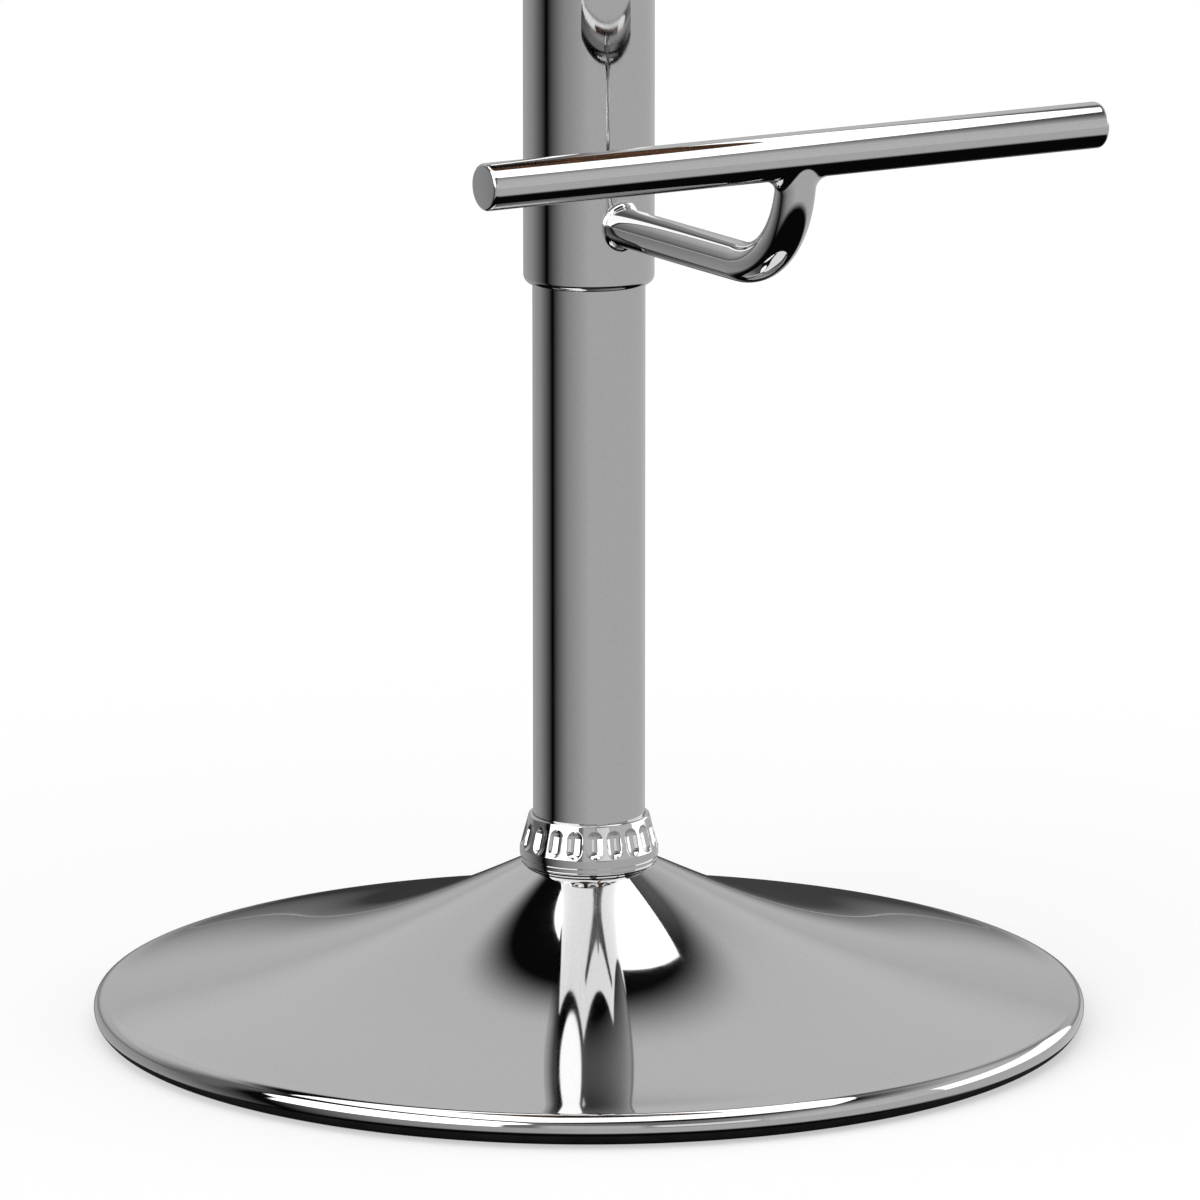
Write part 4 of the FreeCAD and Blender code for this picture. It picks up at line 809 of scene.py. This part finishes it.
def pad_line(half, front, rear, corner, draw, height, step=0.003):
    """A closed line round a pad: round corners, and sides that bow inwards between them."""
    line = []
    centres = ((180, -half + corner, -front + corner), (270, half - corner, -front + corner),
               (0, half - corner, rear - corner), (90, -half + corner, rear - corner))
    for index, (turn, x, y) in enumerate(centres):
        bend = arc((x, y), corner, turn, turn + 90, max(6, int(corner * math.pi / 2 / step)))
        line += bend
        turn_after, x_after, y_after = centres[(index + 1) % 4]
        start = Vector(bend[-1])
        end = Vector(arc((x_after, y_after), corner, turn_after, turn_after, 1)[0])
        count = max(3, int((end - start).length / step))
        inward = Vector((-(end - start).y, (end - start).x)).normalized()
        for number in range(1, count):
            share = number / count
            bow = draw * (end - start).length * 4 * share * (1 - share)
            line.append(tuple(start.lerp(end, share) + inward * bow))
    return [(x, y, height) for x, y in line]


def joined_copy(node, name, place):
    """A copy of a CAD pad in its own frame, with its loose triangles joined."""
    mesh = NODES[node].data.copy()
    mesh.transform(place.inverted())
    work = bmesh.new()
    work.from_mesh(mesh)
    bmesh.ops.remove_doubles(work, verts=work.verts, dist=1e-5)
    work.to_mesh(mesh)
    work.free()
    mesh.materials.clear()
    piece = bpy.data.objects.new(name, mesh)
    bpy.context.scene.collection.objects.link(piece)
    return piece


def vertex_rows(mesh, kind="co"):
    """The places or the normals of a mesh's vertices, one to a row."""
    rows = np.empty(len(mesh.vertices) * 3)
    mesh.vertices.foreach_get(kind, rows)
    return rows.reshape(-1, 3)


def stuffed_pad(name, node, place, sizes, seams, cap):
    """A sewn cover blown up by its foam: cloth under pressure, held at its seams and its underside."""
    piece = joined_copy(node, name, place)
    points = vertex_rows(piece.data)
    middle = np.array([0, (sizes.rear - sizes.front) / 2, 0])
    share = 1 - COVER_INSET / sizes.half
    points = (points - middle) * (share, share, 1) + middle
    points[:, 2] *= COVER_LOW
    on_board = (points[:, 2] > 0.001) & (points[:, 2] < BOARD_WALL + 0.0006)
    points[on_board, 2] = BOARD_WALL
    piece.data.vertices.foreach_set("co", points.ravel())
    remesh = piece.modifiers.new("even_faces", "REMESH")
    remesh.mode = "VOXEL"
    remesh.voxel_size = COVER_FACE
    apply_modifiers(piece)

    mesh = piece.data
    points = vertex_rows(mesh)
    normals = vertex_rows(mesh, "normal")
    seam_height = SEAM_SHARE * sizes.height
    top = normals[:, 2] > 0.35
    held = points[:, 2] < BOARD_WALL + 0.002
    held |= np.abs(points[:, 2] - seam_height) < WELT_BAND
    for seam in seams:
        near = top & (np.abs(points[:, 0] - seam) < FOLD_BAND) & (points[:, 2] > seam_height)
        points[near, 2] -= FOLD_SINK
        held |= near
    mesh.vertices.foreach_set("co", points.ravel())
    group = piece.vertex_groups.new(name="held")
    group.add([int(index) for index in np.nonzero(held)[0]], 1.0, "REPLACE")
    cloth = piece.modifiers.new("stuffing", "CLOTH")
    settings = cloth.settings
    settings.quality = 6
    settings.mass = 0.3
    settings.tension_stiffness = 18
    settings.compression_stiffness = 12
    settings.shear_stiffness = 8
    settings.bending_stiffness = 0.8
    settings.use_pressure = True
    settings.uniform_pressure_force = 4.5
    settings.vertex_group_mass = "held"
    settings.effector_weights.gravity = 0
    cloth.collision_settings.use_collision = False
    scene = bpy.context.scene
    for number in range(1, STUFFING_FRAMES + 1):
        scene.frame_set(number)
    evaluated = piece.evaluated_get(bpy.context.evaluated_depsgraph_get())
    move = vertex_rows(evaluated.data) - points
    size = np.linalg.norm(move, axis=1, keepdims=True)
    points = points + move * np.minimum(1, cap / np.maximum(size, 1e-9))
    piece.modifiers.clear()
    scene.frame_set(1)
    piece.vertex_groups.clear()
    mesh.vertices.foreach_set("co", points.ravel())
    smooth = piece.modifiers.new("even_faces", "SUBSURF")
    smooth.levels = smooth.render_levels = 1
    apply_modifiers(piece)
    settle(piece.data, sizes)
    finish_mesh(piece, hide, sharp=180)
    return piece


def settle(mesh, sizes):
    """Rests a pad's underside on the sheet and its board."""
    points = vertex_rows(mesh)
    inset = BOARD_INSET - 0.002
    over_board = ((np.abs(points[:, 0]) < sizes.half - inset) & (points[:, 1] > inset - sizes.front)
                  & (points[:, 1] < sizes.rear - inset))
    floor = np.where(over_board, BOARD_WALL + PAD_OFF_BOARD, PAD_OFF_PLY)
    low = points[:, 2] < 0.4 * sizes.height
    points[:, 2] = np.where(low, np.maximum(points[:, 2], floor), points[:, 2])
    mesh.vertices.foreach_set("co", points.ravel())
    mesh.update()


def surface_line(surface, places, lift):
    """The places dropped onto the pad's upper face, then lifted a little off it."""
    line = []
    for x, y in places:
        spot, normal, index, distance = surface.ray_cast(Vector((x, y, 0.2)), Vector((0, 0, -1)))
        if spot:
            line.append(spot + normal * lift)
    return line


def sewn_pad(name, node, place, sizes, seams, cap):
    half, front, rear, corner, height = sizes
    pad = stuffed_pad(name, node, place, sizes, seams, cap)
    work = bmesh.new()
    work.from_mesh(pad.data)
    surface = BVHTree.FromBMesh(work)
    work.free()

    welt = pad_line(half - PIPING_INSET, front - PIPING_INSET, rear - PIPING_INSET, corner - PIPING_INSET,
                    PAD_DRAW, SEAM_SHARE * height)
    piping = outline_piece(name + "_piping", welt, closed=True)
    run_tree(piping, PIPING, Radius=PIPING_RADIUS, Sides=14, Material=hide_cord)
    pieces = [(piping, hide_cord)]
    rows = []
    reach = np.arange(-front + FOLD_MARGIN, rear - FOLD_MARGIN, FOLD_STEP)
    for number, seam in enumerate(seams):
        fold = surface_line(surface, [(seam, y) for y in reach], FOLD_LIFT)
        cord = outline_piece(f"{name}_seam_{number}", fold, closed=False)
        run_tree(cord, PIPING, Radius=FOLD_RADIUS, Sides=8, Material=hide_cord)
        pieces.append((cord, hide_cord))
        for side in (-1, 1):
            across = seam + side * STITCH_OFF_FOLD
            rows.append(surface_line(surface, [(across, y) for y in reach], STITCH_LIFT))
    for number, row in enumerate(rows):
        stitches = outline_piece(f"{name}_stitches_{number}", row, closed=False)
        run_tree(stitches, STITCHING, Pitch=STITCH_PITCH, Stitch_length=STITCH_LENGTH,
                 Thread_radius=THREAD_RADIUS, Material=sewing_thread)
        pieces.append((stitches, sewing_thread))
    for piece, material in pieces:
        finish_mesh(piece, material, sharp=60)
        piece.data.transform(place)
        ready(piece, "upper", "leatherette")
    pad.data.transform(place)
    ready(pad, "upper", "leatherette", node)


sewn_pad("seat_pad", "seat_cushion", SEAT_PLACE, SEAT_PAD, PAD_SEAMS, 0.009)
sewn_pad("back_pad", "back_cushion", BACK_PLACE, BACK_PAD, PAD_SEAMS, 0.007)


# Finishes of the pieces that stay as the solids have them.
def smoothing_tree():
    """Joins a solid's loose triangles and shades its curved faces smoothly."""
    make, sizes = new_tree("smooth_faces", {"Sharp_angle": "Float"})
    merged = make.add("GeometryNodeMergeByDistance",
                      {"Geometry": sizes["Geometry"], "Distance": 1e-6}).outputs[0]
    faces = make.add("GeometryNodeSetShadeSmooth", {"Geometry": merged, "Shade Smooth": True},
                     domain="FACE").outputs[0]
    angle = make.add("GeometryNodeInputMeshEdgeAngle").outputs["Unsigned Angle"]
    soft = make.add("FunctionNodeCompare", {0: angle, 1: sizes["Sharp_angle"]},
                    data_type="FLOAT", operation="LESS_THAN").outputs[0]
    edges = make.add("GeometryNodeSetShadeSmooth", {"Geometry": faces, "Shade Smooth": soft},
                     domain="EDGE").outputs[0]
    make.add("NodeGroupOutput", {"Geometry": edges})
    return make.tree


SMOOTH_FACES = smoothing_tree()
SHARP_ANGLE = 28
FINISHES = {
    chrome_plate: ("footrest_arm", "lever_rod"),
    black_rubber: ("bump_stop", "piston_seal"),
    black_plastic: ("guide_bush", "bearing_cage", "rod_gland", "slide_bush", "sleeve_cap", "lever_grip"),
    black_paint: ("pressure_tube", "seat_socket", "mechanism_plate", "lever_bracket", "seat_pad_screws",
                  "back_screws"),
    zinc: ("ballast_bolts", "rod_washer", "retaining_clip", "bump_washer", "pivot_pin", "seat_bolts",
           "tee_nuts"),
    ground_steel: ("hub_socket", "tube_floor", "lower_race", "upper_race", "bearing_balls", "piston_rod",
                   "piston", "gas_cylinder", "valve_body", "release_pin"),
    cast_iron: ("ballast_disc",),
    plywood: ("seat_board", "back_board"),
}
for material, names in FINISHES.items():
    for name in names:
        node = NODES[name]
        node.data.materials.clear()
        node.data.materials.append(material)
        modifier = node.modifiers.new("smooth_faces", "NODES")
        modifier.node_group = SMOOTH_FACES
        for item in SMOOTH_FACES.interface.items_tree:
            if item.name == "Sharp_angle":
                modifier[item.identifier] = math.radians(SHARP_ANGLE)


# Studio: a pale floor, a gray room and large soft lights.
# Cards stand round the stool by azimuth and elevation in degrees:
# left, right, soft sides, low, soft low, high, soft high, brightness.
CARDS = (
    (-77, -20, 1.5, 1, 2, 20, 2, 3.2),
    (-220, -114, 26, 2, 10, 47.5, 5, 0.63),
    (-220, -114, 26, 11, 13, 47.5, 5, 0.77),
    (150, 220, 15, 2, 10, 44, 6, 0.63),
    (150, 220, 15, 11, 13, 44, 6, 0.77),
    (86, 220, 3, 2, 8, 22, 5, 0.63),
    (38, 90, 5, -4, 5, 22, 5, 0.78),
    (-12, 14, 4, -4, 6, 24, 6, 0.72),
    (-220, -90, 6, -4, 5, 41, 8, 0.20),
    (14, 40, 3, 3, 3, 18, 3, 1.2),
    (88, 146, 1.0, 0, 3, 24, 3, 2.4))
ROUND_BOX = (-84.5, -14, 12, 46, 3.2)
DARK_ROOM = 0.004


def world_light():
    """Soft boxes and walls round the stool, by azimuth from the camera's side and by elevation."""
    world = bpy.data.worlds.new("studio")
    world.use_nodes = True
    world.node_tree.nodes.clear()
    tree = Tree(world.node_tree)
    direction = tree.add("ShaderNodeTexCoord").outputs["Generated"]
    turned_way = tree.add("ShaderNodeVectorRotate", {"Vector": direction, "Angle": CAMERA_AZIMUTH},
                          rotation_type="Z_AXIS").outputs[0]
    parts = tree.add("ShaderNodeSeparateXYZ", {"Vector": turned_way}).outputs
    azimuth = tree.math("DEGREES", tree.math("ARCTAN2", parts["X"], tree.times(parts["Y"], -1)))
    elevation = tree.math("DEGREES", tree.math("ARCSINE", parts["Z"]))

    def card(left, right, soft_sides, low, soft_low, high, soft_high, strength):
        shape = tree.smooth(azimuth, left - soft_sides, left + soft_sides)
        shape = tree.times(shape, tree.smooth(azimuth, right + soft_sides, right - soft_sides))
        shape = tree.times(shape, tree.smooth(elevation, low - soft_low, low + soft_low))
        shape = tree.times(shape, tree.smooth(elevation, high + soft_high, high - soft_high))
        return tree.times(shape, strength)

    def round_box(left, right, low, high, strength):
        across = tree.over(tree.minus(azimuth, (left + right) / 2), (right - left) / 2)
        up = tree.over(tree.minus(elevation, (low + high) / 2), (high - low) / 2)
        away = tree.plus(tree.times(across, across), tree.times(up, up))
        return tree.times(tree.smooth(away, 1.08, 0.92), strength)

    def right_wall():
        """The wall on the right, which grows darker upwards and reaches higher the further back it is."""
        top = tree.plus(tree.times(tree.times(azimuth, azimuth), 0.0011), 44.2)
        fading = tree.times(tree.larger(tree.minus(top, elevation), 0.0), 0.034)
        level = tree.math("MINIMUM", fading, tree.smooth(azimuth, 20, 62, 0.26, 0.75))
        sides = tree.times(tree.smooth(azimuth, -26, -18), tree.smooth(azimuth, 165, 125))
        return tree.times(tree.times(level, sides), tree.smooth(elevation, -9, 1))

    def cloths():
        """The grey of the cloths round the stool, with one black fold on the left."""
        sides = tree.even(azimuth, -78.5, -44, 0.0, 0.40)
        for part in (tree.even(azimuth, -44, 1, 0.0, 0.26), tree.even(azimuth, -82, -120, 0.0, 0.41),
                     tree.even(azimuth, -120, -143, 0.0, 0.08)):
            sides = tree.plus(sides, part)
        behind = tree.smooth(tree.math("ABSOLUTE", azimuth), 178, 160, 0.08, 1.0)
        level = tree.times(tree.smooth(elevation, -39, -30), tree.smooth(elevation, 2, -2))
        return tree.times(tree.times(sides, behind), level)

    light = tree.larger(cloths(), DARK_ROOM)
    light = tree.larger(round_box(*ROUND_BOX), light)
    light = tree.larger(right_wall(), light)
    for place in CARDS:
        light = tree.larger(card(*place), light)
    rays = tree.add("ShaderNodeLightPath").outputs
    seen = tree.larger(rays["Is Camera Ray"], rays["Is Transmission Ray"])
    strength = tree.larger(light, seen)
    background = tree.add("ShaderNodeBackground", {"Color": (1, 1, 1, 1), "Strength": strength})
    tree.add("ShaderNodeOutputWorld", {"Surface": background.outputs[0]})
    bpy.context.scene.world = world


def soft_box(name, height, spans, brightness):
    """A lamp over the stool whose face has the given brightness, square to the stool and facing down."""
    (left, right), (front, back) = [[height * share for share in span] for span in spans]
    data = bpy.data.lights.new(name, "AREA")
    data.shape = "RECTANGLE"
    data.size = right - left
    data.size_y = back - front
    data.energy = brightness * math.pi * data.size * data.size_y
    lamp = bpy.data.objects.new(name, data)
    lamp.location = ((left + right) / 2, (front + back) / 2, height)
    lamp.visible_camera = False
    bpy.context.scene.collection.objects.link(lamp)


FLOOR_REACH = 16
FLOOR_SHADE = 0.80
CLOTH_END = (6.0, 14.0)
SHADOW_SHARE = 0.5
SHADOW_REACH = (0.26, 0.75)


def pale_floor():
    """A white floor, seen from above only. In polished metal cloths round the stool take its place."""
    material, tree = new_material("floor_paint")
    place = tree.add("ShaderNodeTexCoord").outputs["Object"]
    shade = tree.mix(tree.noise(place, 3.0), grey(0.99 * FLOOR_SHADE), grey(FLOOR_SHADE))
    paint = tree.add("ShaderNodeBsdfDiffuse", {"Color": shade}).outputs[0]
    reach = tree.add("ShaderNodeVectorMath", {0: place}, operation="LENGTH").outputs["Value"]
    white_share = tree.smooth(reach, *SHADOW_REACH, 1 - SHADOW_SHARE, 1.0)
    rays = tree.add("ShaderNodeLightPath").outputs
    seen = rays["Is Camera Ray"]
    for kind in ("Is Glossy Ray", "Is Transmission Ray"):
        seen = tree.larger(seen, rays[kind])
    white = tree.add("ShaderNodeEmission", {"Color": (1, 1, 1, 1), "Strength": 1.0}).outputs[0]
    surface = tree.add("ShaderNodeMixShader",
                       {0: tree.times(seen, white_share), 1: paint, 2: white}).outputs[0]
    gone = tree.add("ShaderNodeBsdfTransparent").outputs[0]
    cut = tree.times(rays["Is Glossy Ray"], tree.smooth(reach, *CLOTH_END, 1.0, 0.0))
    cut = tree.larger(cut, tree.add("ShaderNodeNewGeometry").outputs["Backfacing"])
    surface = tree.add("ShaderNodeMixShader", {0: cut, 1: surface, 2: gone}).outputs[0]
    tree.add("ShaderNodeOutputMaterial", {"Surface": surface})
    corners = [(x * FLOOR_REACH, y * FLOOR_REACH, 0) for x, y in ((-1, -1), (1, -1), (1, 1), (-1, 1))]
    stage_piece("floor", corners, material)


def stage_piece(name, corners, material):
    mesh = bpy.data.meshes.new(name)
    mesh.from_pydata(corners, [], [tuple(range(len(corners)))])
    mesh.materials.append(material)
    piece = bpy.data.objects.new(name, mesh)
    bpy.context.scene.collection.objects.link(piece)


world_light()
CEILING_HEIGHT = 2.3
CEILING_SPANS = ((-0.78, 0.62), (-0.78, 0.52))
soft_box("ceiling_box", CEILING_HEIGHT, CEILING_SPANS, brightness=2.3)
pale_floor()
